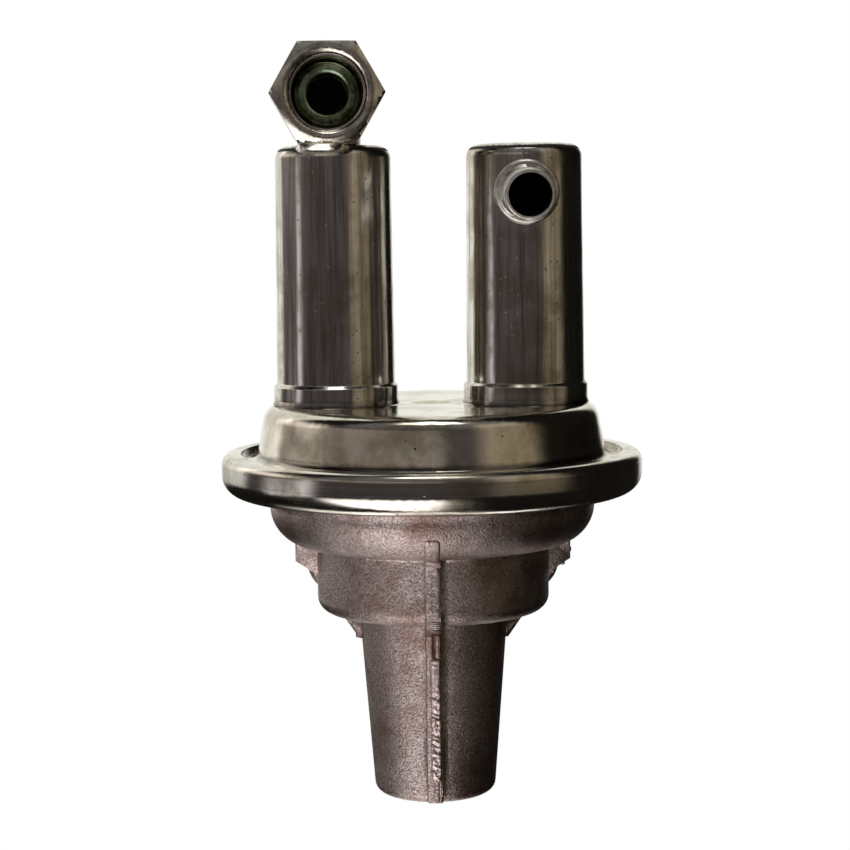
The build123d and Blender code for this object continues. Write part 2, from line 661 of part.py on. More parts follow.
def pull_rod():
    """Rod riveted through both plates, with a cross-head that the link presses on."""
    head = UPPER_PLATE_LEVEL + PLATE_SHEET
    return turned(
        (0, CROSS_HEAD_TOP - CROSS_HEAD_HEIGHT, 0),
        (CROSS_HEAD_RADIUS, CROSS_HEAD_TOP - CROSS_HEAD_HEIGHT, 0),
        (CROSS_HEAD_RADIUS, CROSS_HEAD_TOP, 0),
        (ROD_RADIUS, CROSS_HEAD_TOP, 0),
        (ROD_RADIUS, LOWER_PLATE_LEVEL - ROD_COLLAR_HEIGHT, 0),
        (ROD_HEAD_RADIUS, LOWER_PLATE_LEVEL - ROD_COLLAR_HEIGHT, 0),
        (ROD_HEAD_RADIUS, LOWER_PLATE_LEVEL, 0),
        (ROD_RADIUS, LOWER_PLATE_LEVEL, 0),
        (ROD_RADIUS, head, 0),
        (ROD_HEAD_RADIUS, head, 0),
        (ROD_HEAD_RADIUS, head + ROD_HEAD_HEIGHT, ROD_HEAD_HEIGHT / 2),
        (0, head + ROD_HEAD_HEIGHT, 0),
    )


def oil_seal():
    """Rubber ring round the rod, on the cup floor."""
    bore = ROD_RADIUS + SEAL_GAP
    top = CUP_FLOOR + SEAL_HEIGHT
    return turned((bore, CUP_FLOOR, 0), (SEAL_RADIUS, CUP_FLOOR, 0), (SEAL_RADIUS, top, 0), (bore, top, 0))


def seal_retainer():
    """Pressed cap over the seal, with a flange that the main spring stands on."""
    seal_top = CUP_FLOOR + SEAL_HEIGHT
    cap_top = seal_top + RETAINER_SHEET
    flange_top = CUP_FLOOR + RETAINER_SHEET
    return turned(
        (SEAL_RADIUS, CUP_FLOOR, 0),
        (RETAINER_FLANGE_RADIUS, CUP_FLOOR, 0),
        (RETAINER_FLANGE_RADIUS, flange_top, 0),
        (RETAINER_CAP_RADIUS, flange_top, 0),
        (RETAINER_CAP_RADIUS, cap_top, RETAINER_SHEET),
        (ROD_HEAD_RADIUS, cap_top, 0),
        (ROD_HEAD_RADIUS, seal_top, 0),
        (SEAL_RADIUS, seal_top, 0),
    )


def diaphragm_spring():
    """Main spring, which pushes the diaphragm up."""
    return coil_spring(
        MAIN_SPRING_RADIUS,
        MAIN_SPRING_WIRE,
        MAIN_SPRING_TURNS,
        CUP_FLOOR + RETAINER_SHEET,
        LOWER_PLATE_LEVEL,
    )


def level_to_rest(piece):
    """Moves a piece of the linkage, drawn level about the pin, to its rest angle on the pin."""
    return Pos(0, PIN_REACH, PIN_LEVEL) * Rot(-SWING / 2, 0, 0) * piece


def rocker_arm():
    """Arm with two cheeks on the pin, a web behind them, a beam, and a crowned pad at its tip."""
    half = ARM_HALF_HEIGHT
    heel_floor = HEEL_UNDERSIDE - CONTACT_GAP
    cheeks = cross_bar(ARM_HUB_RADIUS, CHEEK_OUTER, 0, 0) + side_plate(
        [
            (0, ARM_HUB_RADIUS),
            (ARM_BEAM_START, half),
            (ARM_BEAM_START, -half),
            (0, -ARM_HUB_RADIUS),
        ],
        CHEEK_OUTER,
    )
    room = block(
        (-CHEEK_INNER, CHEEK_INNER),
        (-2 * ARM_HUB_RADIUS, ARM_WEB_START),
        (-2 * ARM_HUB_RADIUS, 2 * ARM_HUB_RADIUS),
    )
    heel_room = block(
        (-CHEEK_INNER, CHEEK_INNER),
        (0, HEEL_LENGTH + CONTACT_GAP),
        (heel_floor, 2 * ARM_HUB_RADIUS),
    )
    beam = loft(
        [
            Plane(origin=(0, y, 0), x_dir=(1, 0, 0), z_dir=(0, 1, 0)) * Rectangle(2 * width, 2 * half)
            for y, width in (
                (ARM_WEB_START + half, CHEEK_OUTER),
                (ARM_BEAM_START, ARM_HALF_WIDTH),
                (ARM_LENGTH, ARM_HALF_WIDTH),
            )
        ],
        ruled=True,
    )
    pad = Pos(0, ARM_LENGTH - PAD_LENGTH / 2, PAD_RADIUS - half - PAD_DEPTH) * Rot(0, 90, 0) * Cylinder(
        PAD_RADIUS, 2 * PAD_HALF_WIDTH
    )
    pad &= block(
        (-PAD_HALF_WIDTH, PAD_HALF_WIDTH),
        (ARM_LENGTH - PAD_LENGTH, ARM_LENGTH),
        (-half - PAD_DEPTH, half),
    )
    nub = Pos(0, PIN_REACH, 0) * rod(SPRING_NUB_RADIUS, 0, half + SPRING_NUB_HEIGHT)
    narrow = block((-CHEEK_OUTER, CHEEK_OUTER), (-ARM_HUB_RADIUS, ARM_WEB_START + half), (-half * 2, half * 2))
    arm = (cheeks & narrow) + beam + pad + nub - room - heel_room
    return level_to_rest(arm - cross_bar(PIN_RADIUS + PIN_CLEARANCE, 2 * CHEEK_OUTER, 0, 0))


def link():
    """Forked link inside the arm's cheeks, with round noses over the cross-head and a heel behind."""
    arm = side_plate(
        [
            (-PIN_REACH, LINK_TOP),
            (0, LINK_HUB_RADIUS - CONTACT_GAP),
            (0, CONTACT_GAP - LINK_HUB_RADIUS),
            (LINK_HUB_RADIUS - PIN_REACH + LINK_NOSE_RADIUS, -LINK_UNDERSIDE),
            (-PIN_REACH, -LINK_UNDERSIDE),
        ],
        LINK_HALF_WIDTH,
    )
    heel = side_plate(
        [
            (0, LINK_HUB_RADIUS - CONTACT_GAP),
            (HEEL_LENGTH, HEEL_TOP),
            (HEEL_LENGTH, HEEL_UNDERSIDE),
            (0, HEEL_UNDERSIDE),
        ],
        LINK_HALF_WIDTH,
    )
    body = arm + heel + cross_bar(LINK_HUB_RADIUS, LINK_HALF_WIDTH, 0, 0)
    body += cross_bar(LINK_NOSE_RADIUS, LINK_HALF_WIDTH, -PIN_REACH, 0)
    slot = block(
        (-LINK_SLOT_HALF_WIDTH, LINK_SLOT_HALF_WIDTH),
        (-2 * PIN_REACH, LINK_SLOT_DEPTH - PIN_REACH),
        (-LINK_HUB_RADIUS, LINK_HUB_RADIUS),
    )
    return level_to_rest(body - slot - cross_bar(PIN_RADIUS + PIN_CLEARANCE, 2 * LINK_HALF_WIDTH, 0, 0))


def pivot_pin():
    """Pin pressed through the neck's two side walls."""
    return cross_bar(PIN_RADIUS, NECK_BOX_HALF_WIDTH, PIN_REACH, PIN_LEVEL)


def arm_spring():
    """Spring between the arm and the pocket over it, which holds the arm on the cam."""
    arm_top = PIN_LEVEL - PIN_REACH * sin(HALF_SWING) + ARM_HALF_HEIGHT * cos(HALF_SWING)
    slope_rise = (ARM_SPRING_RADIUS + ARM_SPRING_WIRE) * tan(HALF_SWING)
    spring = coil_spring(
        ARM_SPRING_RADIUS,
        ARM_SPRING_WIRE,
        ARM_SPRING_TURNS,
        arm_top + slope_rise + CONTACT_GAP,
        SPRING_POCKET_TOP,
    )
    return Pos(0, spring_axis(), 0) * spring


def valve_seat():
    """Round plate with a ring of ports, drawn with its middle at z = 0."""
    plate = Cylinder(NECK_RADIUS - NECK_SHEET - VALVE_SEAT_GAP, VALVE_SEAT_THICKNESS)
    ports = PolarLocations(VALVE_PORT_CIRCLE, VALVE_PORTS) * Cylinder(VALVE_PORT_RADIUS, 2 * VALVE_SEAT_THICKNESS)
    return plate - ports - Cylinder(VALVE_STEM_RADIUS, 2 * VALVE_SEAT_THICKNESS)


def valve_disc():
    """Rubber disc just over the seat."""
    foot = VALVE_SEAT_THICKNESS / 2 + VALVE_REST_GAP
    bore = VALVE_STEM_RADIUS + VALVE_STEM_CLEARANCE
    top = foot + VALVE_DISC_THICKNESS
    return turned((bore, foot, 0), (VALVE_DISC_RADIUS, foot, 0), (VALVE_DISC_RADIUS, top, 0), (bore, top, 0))


def spring_foot():
    """Level of the valve spring's end on the disc."""
    return VALVE_SEAT_THICKNESS / 2 + VALVE_REST_GAP + VALVE_DISC_THICKNESS


def valve_spring():
    """Light spring between the disc and the stem's button."""
    foot = spring_foot()
    return coil_spring(
        VALVE_SPRING_RADIUS,
        VALVE_SPRING_WIRE,
        VALVE_SPRING_TURNS,
        foot,
        foot + VALVE_SPRING_LENGTH,
    )


def valve_stem():
    """Stem riveted in the seat, with a button that holds the spring."""
    back = -VALVE_SEAT_THICKNESS / 2
    button = spring_foot() + VALVE_SPRING_LENGTH
    return turned(
        (0, back - VALVE_BUTTON_HEIGHT, 0),
        (VALVE_RIVET_RADIUS, back - VALVE_BUTTON_HEIGHT, 0),
        (VALVE_RIVET_RADIUS, back, 0),
        (VALVE_STEM_RADIUS, back, 0),
        (VALVE_STEM_RADIUS, button, 0),
        (VALVE_BUTTON_RADIUS, button, 0),
        (VALVE_BUTTON_RADIUS, button + VALVE_BUTTON_HEIGHT, 0),
        (0, button + VALVE_BUTTON_HEIGHT, 0),
    )


def valve_place(side, opens_down):
    """Place of a valve in its neck. The inlet valve is turned over, so that it opens down."""
    level = COVER_TOP + VALVE_SEAT_LEVEL + VALVE_SEAT_THICKNESS / 2
    place = Pos(side * CAN_OFFSET, 0, level)
    return place * Rot(180, 0, 0) if opens_down else place


def all_pieces():
    """Every piece by name, in the pump's own frame."""
    pieces = {
        "lower_housing": lower_housing(),
        "crimp_ring": crimp_ring(),
        "top_cover": top_cover(),
        "inlet_can": inlet_can(),
        "outlet_can": outlet_can(),
        "inlet_nipple": inlet_nipple(),
        "outlet_fitting": outlet_fitting(),
        "flare_seat": flare_seat(),
        "diaphragm": diaphragm(),
        "upper_plate": upper_plate(),
        "lower_plate": lower_plate(),
        "pull_rod": pull_rod(),
        "diaphragm_spring": diaphragm_spring(),
        "oil_seal": oil_seal(),
        "seal_retainer": seal_retainer(),
        "rocker_arm": rocker_arm(),
        "link": link(),
        "pivot_pin": pivot_pin(),
        "arm_spring": arm_spring(),
    }
    for name, side, opens_down in (("inlet", 1, True), ("outlet", -1, False)):
        place = valve_place(side, opens_down)
        pieces[f"{name}_valve_seat"] = place * valve_seat()
        pieces[f"{name}_valve_disc"] = place * valve_disc()
        pieces[f"{name}_valve_spring"] = place * valve_spring()
        pieces[f"{name}_valve_stem"] = place * valve_stem()
    return pieces


os.makedirs("parts", exist_ok=True)
to_engine_face = Pos(0, -FLANGE_REACH, -BOLT_LEVEL)
for node, piece in all_pieces().items():
    export_step(to_engine_face * piece, f"parts/{node}.step")
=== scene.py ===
"""Finishes, fine detail, studio and camera for a mechanical fuel pump.

The pump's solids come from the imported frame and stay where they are. This script gives them
smooth-shaded copies and real finishes, and adds what is too fine for the solids: the thread and
the rounded seat in the outlet port, the crown and the flash on the casting's parting rib, nubs on
its gussets, the brazing under the hexagon block, and the staking round the pivot pin.
All places are in metres in the frame's own axes: +Z up along the pump, -Y towards the camera.
"""

import json
import logging
import math
from abc import ABC, abstractmethod
from collections.abc import Callable
from dataclasses import dataclass
from enum import Enum
from random import Random
from typing import Any, Optional

import bmesh
import bpy
from mathutils import Matrix, Vector, noise

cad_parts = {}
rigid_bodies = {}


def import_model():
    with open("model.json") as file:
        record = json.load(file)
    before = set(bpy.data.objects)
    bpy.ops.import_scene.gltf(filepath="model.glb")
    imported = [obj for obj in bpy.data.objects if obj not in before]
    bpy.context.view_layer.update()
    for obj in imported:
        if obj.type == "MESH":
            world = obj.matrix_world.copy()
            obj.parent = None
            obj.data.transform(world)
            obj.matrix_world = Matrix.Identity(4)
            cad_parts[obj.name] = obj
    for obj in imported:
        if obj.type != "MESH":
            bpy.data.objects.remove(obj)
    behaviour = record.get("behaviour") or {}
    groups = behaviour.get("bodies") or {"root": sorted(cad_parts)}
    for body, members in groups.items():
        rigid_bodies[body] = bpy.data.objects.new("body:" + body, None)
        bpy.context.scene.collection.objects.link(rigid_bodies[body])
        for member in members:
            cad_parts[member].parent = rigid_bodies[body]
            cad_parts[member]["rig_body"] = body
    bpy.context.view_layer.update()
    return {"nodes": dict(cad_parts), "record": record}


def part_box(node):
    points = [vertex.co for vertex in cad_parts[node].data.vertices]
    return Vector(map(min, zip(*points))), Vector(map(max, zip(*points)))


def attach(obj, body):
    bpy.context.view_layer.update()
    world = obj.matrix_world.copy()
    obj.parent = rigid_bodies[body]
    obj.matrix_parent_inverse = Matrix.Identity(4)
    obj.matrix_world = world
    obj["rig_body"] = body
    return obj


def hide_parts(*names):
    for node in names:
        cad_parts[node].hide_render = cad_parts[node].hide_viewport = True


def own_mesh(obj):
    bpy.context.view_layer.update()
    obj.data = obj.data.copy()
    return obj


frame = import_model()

log = logging.getLogger("fuel_pump")

MM = 0.001
IMAGE_WIDTH = 850


def linear_colour(hex_text: str) -> tuple[float, float, float, float]:
    """Turns an sRGB hex colour into linear RGBA.

    Args:
        hex_text: Six hex digits, such as "A09880".

    Returns:
        Red, green, blue and an alpha of 1, linear.
    """
    channels = [int(hex_text[place : place + 2], 16) / 255 for place in (0, 2, 4)]
    linear = [c / 12.92 if c <= 0.04045 else ((c + 0.055) / 1.055) ** 2.4 for c in channels]
    return (*linear, 1.0)


def per_metre(size_mm: float) -> float:
    """Texture scale for a feature of this size in millimetres, on coordinates in metres."""
    return 1 / (size_mm * MM)


def add_node(
    tree: bpy.types.NodeTree,
    kind: str,
    inputs: Optional[dict[Any, Any]] = None,
    **settings: Any,
) -> bpy.types.Node:
    """Adds a node with its settings, values and links.

    Args:
        tree: The node tree.
        kind: The node's type name.
        inputs: Sockets by name or place, each with a value or the output socket to link from.
        settings: Properties of the node.

    Returns:
        The new node.
    """
    node = tree.nodes.new(kind)
    for name, value in settings.items():
        setattr(node, name, value)
    for key, value in (inputs or {}).items():
        if isinstance(value, bpy.types.NodeSocket):
            tree.links.new(value, node.inputs[key])
        else:
            node.inputs[key].default_value = value
    return node


def mixed_colour(
    tree: bpy.types.NodeTree, share: bpy.types.NodeSocket, first: Any, second: Any
) -> bpy.types.NodeSocket:
    """Mixes two colours.

    Args:
        tree: The node tree.
        share: Share of the second colour.
        first: Hex text or colour socket.
        second: Hex text or colour socket.

    Returns:
        The mixed colour's socket.
    """
    mix = tree.nodes.new("ShaderNodeMix")
    mix.data_type = "RGBA"
    tree.links.new(share, mix.inputs[0])
    for place, colour in ((6, first), (7, second)):
        if isinstance(colour, str):
            mix.inputs[place].default_value = linear_colour(colour)
        else:
            tree.links.new(colour, mix.inputs[place])
    return mix.outputs[2]


def new_material(name: str) -> tuple[bpy.types.Material, bpy.types.NodeTree]:
    """Makes a material with an empty node tree."""
    material = bpy.data.materials.new(name)
    material.use_nodes = True
    material.node_tree.nodes.clear()
    return material, material.node_tree


class Grain(Enum):
    """Direction in which a finish's fine marks run."""

    DRAWN = "along the can"
    ROLLED = "round the pump axis"
    NONE = "no direction"


@dataclass(frozen=True)
class Finish(ABC):
    """A surface finish, built as one procedural material.

    Attributes:
        name: Material name, after the real material and how it was made.
        slot: The record's material slot.
    """

    name: str
    slot: str

    @abstractmethod
    def build(self) -> bpy.types.Material:
        """Builds the material."""

    def start(self) -> tuple[bpy.types.Material, bpy.types.NodeTree, bpy.types.Node]:
        """Starts a material with an empty tree and its Principled shader.

        Returns:
            The material, its node tree and the shader node.
        """
        material, tree = new_material(self.name)
        shader = add_node(tree, "ShaderNodeBsdfPrincipled")
        add_node(tree, "ShaderNodeOutputMaterial", {"Surface": shader.outputs["BSDF"]})
        return material, tree, shader


@dataclass(frozen=True)
class ZincPlate(Finish):
    """Zinc-plated steel with a faint yellow chromate, mirror-like with dull clouds and specks.

    Attributes:
        bright_hex: Colour where the plating is clean.
        dull_hex: Colour in the chromate's clouds.
        roughness: Roughness where the plating is clean.
        cloud_roughness: Added roughness in the dullest clouds.
        cloud_mm: Size of the clouds.
        grain: Direction of the fine marks.
        mark_mm: Spacing of the fine marks.
        mark_depth: Strength of the marks' bump, in millimetres.
        wave_mm: Length of the sheet's slow waves, which bend reflections.
        wave_depth: Depth of those waves, in millimetres.
        speck_mm: Spacing of the dark specks.
        speck_share: Share of the specks that show.
        speck_hex: Colour of the specks.
        streak_mm: Width of the broad streaks along the marks.
        streak_share: How strongly the streaks tint the plating.
        streak_hex: Colour of the streaks.
        shade_and_grime_level: Height in metres of a seam with painted shade and grime, or under
            -0.5 for none.
        shade_and_grime_mm: How far the painted shade and grime reach from that seam.
        shade_and_grime_hex: Colour of the painted shade and grime.
    """

    bright_hex: str = "DAD6D0"
    dull_hex: str = "ADA698"
    roughness: float = 0.13
    cloud_roughness: float = 0.1
    cloud_mm: float = 9.0
    grain: Grain = Grain.NONE
    mark_mm: float = 0.35
    mark_depth: float = 0.004
    wave_mm: float = 14.0
    wave_depth: float = 0.03
    speck_mm: float = 1.6
    speck_share: float = 0.1
    speck_hex: str = "3A342C"
    streak_mm: float = 1.7
    streak_share: float = 0.35
    streak_hex: str = "7D7464"
    shade_and_grime_level: float = -1.0
    shade_and_grime_mm: float = 0.8
    shade_and_grime_hex: str = "2B2019"

    def mark_place(self, tree: bpy.types.NodeTree) -> bpy.types.NodeSocket:
        """Coordinates stretched along the marks.

        Args:
            tree: The material's node tree.

        Returns:
            A vector socket, in metres across the marks.
        """
        place = add_node(tree, "ShaderNodeTexCoord").outputs["Object"]
        if self.grain is Grain.DRAWN:
            stretch = add_node(
                tree, "ShaderNodeMapping", {"Vector": place, "Scale": (1, 1, 0.03)}
            )
            return stretch.outputs["Vector"]
        if self.grain is Grain.ROLLED:
            centre = -PUMP.axis
            centred = add_node(
                tree, "ShaderNodeMapping", {"Vector": place, "Location": (centre.x, centre.y, 0)}
            )
            parts = add_node(tree, "ShaderNodeSeparateXYZ", {"Vector": centred.outputs["Vector"]})
            level = {"X": parts.outputs["X"], "Y": parts.outputs["Y"]}
            flat = add_node(tree, "ShaderNodeCombineXYZ", level).outputs["Vector"]
            radius = add_node(tree, "ShaderNodeVectorMath", {0: flat}, operation="LENGTH")
            ring = add_node(
                tree,
                "ShaderNodeCombineXYZ",
                {"X": radius.outputs["Value"], "Y": parts.outputs["Z"]},
            )
            return ring.outputs["Vector"]
        return place

    def shade_and_grime(self, tree: bpy.types.NodeTree, place: bpy.types.NodeSocket) -> bpy.types.NodeSocket:
        """Share of painted shade and grime near the seam's level, with a ragged edge.

        Args:
            tree: The material's node tree.
            place: Object coordinates.

        Returns:
            The share's socket.
        """
        parts = add_node(tree, "ShaderNodeSeparateXYZ", {"Vector": place})
        level = {0: parts.outputs["Z"], 1: self.shade_and_grime_level}
        apart = add_node(tree, "ShaderNodeMath", level, operation="SUBTRACT").outputs["Value"]
        distance = add_node(tree, "ShaderNodeMath", {0: apart}, operation="ABSOLUTE")
        ragged = add_node(
            tree,
            "ShaderNodeTexNoise",
            {"Vector": place, "Scale": per_metre(2.2), "Detail": 4.0, "Roughness": 0.7},
        )
        reach = add_node(
            tree,
            "ShaderNodeMath",
            {0: ragged.outputs["Fac"], 1: 2 * self.shade_and_grime_mm * MM},
            operation="MULTIPLY",
        )
        share = add_node(
            tree,
            "ShaderNodeMapRange",
            {
                "Value": distance.outputs["Value"],
                "From Min": reach.outputs["Value"],
                "From Max": 0.0,
                "To Max": 0.85,
            },
        )
        return share.outputs["Result"]

    def build(self) -> bpy.types.Material:
        """Builds the plated metal."""
        material, tree, shader = self.start()
        place = add_node(tree, "ShaderNodeTexCoord").outputs["Object"]
        clouds = add_node(
            tree,
            "ShaderNodeTexNoise",
            {"Vector": place, "Scale": per_metre(self.cloud_mm), "Detail": 5.0, "Roughness": 0.6},
        )
        cloud = add_node(
            tree,
            "ShaderNodeMapRange",
            {"Value": clouds.outputs["Fac"], "From Min": 0.42, "From Max": 0.68},
            interpolation_type="SMOOTHSTEP",
        )
        specks = add_node(
            tree,
            "ShaderNodeTexVoronoi",
            {"Vector": place, "Scale": per_metre(self.speck_mm), "Randomness": 1.0},
        )
        speck_core = add_node(
            tree,
            "ShaderNodeMapRange",
            {"Value": specks.outputs["Distance"], "From Min": 0.16, "From Max": 0.08},
        )
        chance = add_node(tree, "ShaderNodeSeparateColor", {"Color": specks.outputs["Color"]})
        chosen = add_node(
            tree,
            "ShaderNodeMath",
            {0: chance.outputs["Red"], 1: self.speck_share},
            operation="LESS_THAN",
        )
        speck = add_node(
            tree,
            "ShaderNodeMath",
            {0: speck_core.outputs["Result"], 1: chosen.outputs["Value"]},
            operation="MULTIPLY",
        )
        along = self.mark_place(tree)
        marks = add_node(
            tree,
            "ShaderNodeTexNoise",
            {"Vector": along, "Scale": per_metre(self.mark_mm), "Detail": 3.0},
        )
        streaks = add_node(
            tree,
            "ShaderNodeTexNoise",
            {"Vector": along, "Scale": per_metre(self.streak_mm), "Detail": 4.0, "Roughness": 0.7},
        )
        streak = add_node(
            tree,
            "ShaderNodeMapRange",
            {
                "Value": streaks.outputs["Fac"],
                "From Min": 0.45,
                "From Max": 0.65,
                "To Max": self.streak_share,
            },
        )
        clean = mixed_colour(tree, cloud.outputs["Result"], self.bright_hex, self.dull_hex)
        tone = mixed_colour(tree, streak.outputs["Result"], clean, self.streak_hex)
        spotted = mixed_colour(tree, speck.outputs["Value"], tone, self.speck_hex)
        # Darker near a seam: painted shade where the parts meet, partly grime
        if self.shade_and_grime_level > -0.5:
            spotted = mixed_colour(tree, self.shade_and_grime(tree, place), spotted, self.shade_and_grime_hex)
        mark_rough = add_node(
            tree,
            "ShaderNodeMapRange",
            {
                "Value": marks.outputs["Fac"],
                "From Min": 0.35,
                "From Max": 0.75,
                "To Min": self.roughness,
                "To Max": self.roughness + 0.07,
            },
        )
        rough = add_node(
            tree,
            "ShaderNodeMath",
            {0: cloud.outputs["Result"], 1: self.cloud_roughness, 2: mark_rough.outputs["Result"]},
            operation="MULTIPLY_ADD",
        )
        waves = add_node(
            tree,
            "ShaderNodeTexNoise",
            {"Vector": place, "Scale": per_metre(self.wave_mm), "Detail": 1.0},
        )
        wave_bump = add_node(
            tree,
            "ShaderNodeBump",
            {"Height": waves.outputs["Fac"], "Strength": 1.0, "Distance": self.wave_depth * MM},
        )
        mark_bump = add_node(
            tree,
            "ShaderNodeBump",
            {
                "Height": marks.outputs["Fac"],
                "Strength": 1.0,
                "Distance": self.mark_depth * MM,
                "Normal": wave_bump.outputs["Normal"],
            },
        )
        speck_bump = add_node(
            tree,
            "ShaderNodeBump",
            {
                "Height": speck.outputs["Value"],
                "Strength": 1.0,
                "Distance": 0.03 * MM,
                "Normal": mark_bump.outputs["Normal"],
            },
            invert=True,
        )
        tree.links.new(spotted, shader.inputs["Base Color"])
        tree.links.new(rough.outputs["Value"], shader.inputs["Roughness"])
        tree.links.new(speck_bump.outputs["Normal"], shader.inputs["Normal"])
        shader.inputs["Metallic"].default_value = 1.0
        return material


@dataclass(frozen=True)
class DieCast(Finish):
    """Die-cast aluminium, tumbled and browned: a fine sparkling grain over slow stains.

    Attributes:
        light_hex: Colour on the grain's tops.
        dark_hex: Colour in the grain's pits.
        stain_hex: Colour of the slow stains.
        milled_hex: Colour of the milled mounting face.
        grain_mm: Size of the cast grain.
        grain_depth: Depth of the grain, in millimetres.
        pit_mm: Spacing of the larger pits.
        stain_mm: Size of the stains.
        roughness: Mean roughness.
        mill_mm: Spacing of the cutter marks on the milled face.
        milled_metallic: How metallic the oily milled face looks.
    """

    light_hex: str = "D6CAC7"
    dark_hex: str = "8E7A73"
    stain_hex: str = "7A5A4B"
    milled_hex: str = "C9C6C0"
    grain_mm: float = 0.4
    grain_depth: float = 0.15
    pit_mm: float = 2.4
    stain_mm: float = 12.0
    roughness: float = 0.41
    mill_mm: float = 0.6
    milled_metallic: float = 0.6

    def clouds(
        self, tree: bpy.types.NodeTree, size_mm: float, low: float, high: float, detail: float = 4.0
    ) -> tuple[bpy.types.NodeSocket, bpy.types.NodeSocket]:
        """Noise of one size on the casting.

        Args:
            tree: The node tree.
            size_mm: Size of its features.
            low: Noise value that gives share 0.
            high: Noise value that gives share 1.
            detail: Octaves.

        Returns:
            The noise and its share between low and high.
        """
        place = add_node(tree, "ShaderNodeTexCoord").outputs["Object"]
        field = add_node(
            tree,
            "ShaderNodeTexNoise",
            {"Vector": place, "Scale": per_metre(size_mm), "Detail": detail, "Roughness": 0.65},
        )
        share = add_node(
            tree,
            "ShaderNodeMapRange",
            {"Value": field.outputs["Fac"], "From Min": low, "From Max": high},
        )
        return field.outputs["Fac"], share.outputs["Result"]

    def milled(self, tree: bpy.types.NodeTree) -> tuple[bpy.types.NodeSocket, bpy.types.NodeSocket]:
        """Share of the milled mounting face, and the height of its cutter marks."""
        place = add_node(tree, "ShaderNodeTexCoord").outputs["Object"]
        parts = add_node(tree, "ShaderNodeSeparateXYZ", {"Vector": place})
        face = add_node(
            tree,
            "ShaderNodeMath",
            {0: parts.outputs["Y"], 1: PUMP.mount_face - 0.03 * MM},
            operation="GREATER_THAN",
        )
        arcs = add_node(
            tree,
            "ShaderNodeTexWave",
            {
                "Vector": place,
                "Scale": per_metre(self.mill_mm) / 20,
                "Distortion": 0.4,
                "Detail": 1.0,
            },
            wave_type="RINGS",
            rings_direction="Y",
        )
        return face.outputs["Value"], arcs.outputs["Fac"]

    def build(self) -> bpy.types.Material:
        """Builds the cast metal."""
        material, tree, shader = self.start()
        grain, grain_share = self.clouds(tree, self.grain_mm, 0.36, 0.64)
        pits, _ = self.clouds(tree, self.pit_mm, 0.3, 0.7, 3.0)
        _, stain_share = self.clouds(tree, self.stain_mm, 0.45, 0.75)
        face, arcs = self.milled(tree)
        tone = mixed_colour(tree, grain_share, self.dark_hex, self.light_hex)
        stained = mixed_colour(tree, stain_share, tone, self.stain_hex)
        coloured = mixed_colour(tree, face, stained, self.milled_hex)
        cast_rough = add_node(
            tree,
            "ShaderNodeMapRange",
            {
                "Value": grain,
                "From Min": 0.3,
                "From Max": 0.7,
                "To Min": self.roughness + 0.1,
                "To Max": self.roughness - 0.12,
            },
        )
        rough = add_node(
            tree,
            "ShaderNodeMapRange",
            {"Value": face, "To Min": cast_rough.outputs["Result"], "To Max": 0.3},
        )
        pit_bump = add_node(
            tree, "ShaderNodeBump", {"Height": pits, "Strength": 1.0, "Distance": 0.08 * MM}
        )
        grain_bump = add_node(
            tree,
            "ShaderNodeBump",
            {
                "Height": grain,
                "Strength": 1.0,
                "Distance": self.grain_depth * MM,
                "Normal": pit_bump.outputs["Normal"],
            },
        )
        mill_bump = add_node(
            tree, "ShaderNodeBump", {"Height": arcs, "Strength": 0.4, "Distance": 0.02 * MM}
        )
        normal = add_node(
            tree,
            "ShaderNodeMix",
            {0: face, 4: grain_bump.outputs["Normal"], 5: mill_bump.outputs["Normal"]},
            data_type="VECTOR",
        )
        tree.links.new(coloured, shader.inputs["Base Color"])
        tree.links.new(rough.outputs["Result"], shader.inputs["Roughness"])
        tree.links.new(normal.outputs[1], shader.inputs["Normal"])
        skin = add_node(
            tree,
            "ShaderNodeMapRange",
            {"Value": face, "To Min": 1.0, "To Max": self.milled_metallic},
        )
        tree.links.new(skin.outputs["Result"], shader.inputs["Metallic"])
        return material


@dataclass(frozen=True)
class PlainStock(Finish):
    """Bare, oiled or moulded stock for the pieces inside and behind.

    Attributes:
        light_hex: Lighter colour of its mottling.
        dark_hex: Darker colour of its mottling.
        metallic: 1 for metal, 0 for rubber.
        roughness: Mean roughness.
        mottle_mm: Size of the mottling.
        bump_mm: Depth of its surface marks, in millimetres.
    """

    light_hex: str = "9A9A96"
    dark_hex: str = "74736E"
    metallic: float = 1.0
    roughness: float = 0.35
    mottle_mm: float = 1.2
    bump_mm: float = 0.01

    def build(self) -> bpy.types.Material:
        """Builds the stock's material."""
        material, tree, shader = self.start()
        place = add_node(tree, "ShaderNodeTexCoord").outputs["Object"]
        mottle = add_node(
            tree,
            "ShaderNodeTexNoise",
            {"Vector": place, "Scale": per_metre(self.mottle_mm), "Detail": 5.0},
        )
        share = add_node(
            tree,
            "ShaderNodeMapRange",
            {"Value": mottle.outputs["Fac"], "From Min": 0.35, "From Max": 0.65},
        )
        rough = add_node(
            tree,
            "ShaderNodeMapRange",
            {
                "Value": mottle.outputs["Fac"],
                "From Min": 0.3,
                "From Max": 0.7,
                "To Min": self.roughness - 0.07,
                "To Max": self.roughness + 0.1,
            },
        )
        bump = add_node(
            tree,
            "ShaderNodeBump",
            {"Height": mottle.outputs["Fac"], "Strength": 1.0, "Distance": self.bump_mm * MM},
        )
        tone = mixed_colour(tree, share.outputs["Result"], self.dark_hex, self.light_hex)
        tree.links.new(tone, shader.inputs["Base Color"])
        tree.links.new(rough.outputs["Result"], shader.inputs["Roughness"])
        tree.links.new(bump.outputs["Normal"], shader.inputs["Normal"])
        shader.inputs["Metallic"].default_value = self.metallic
        return material


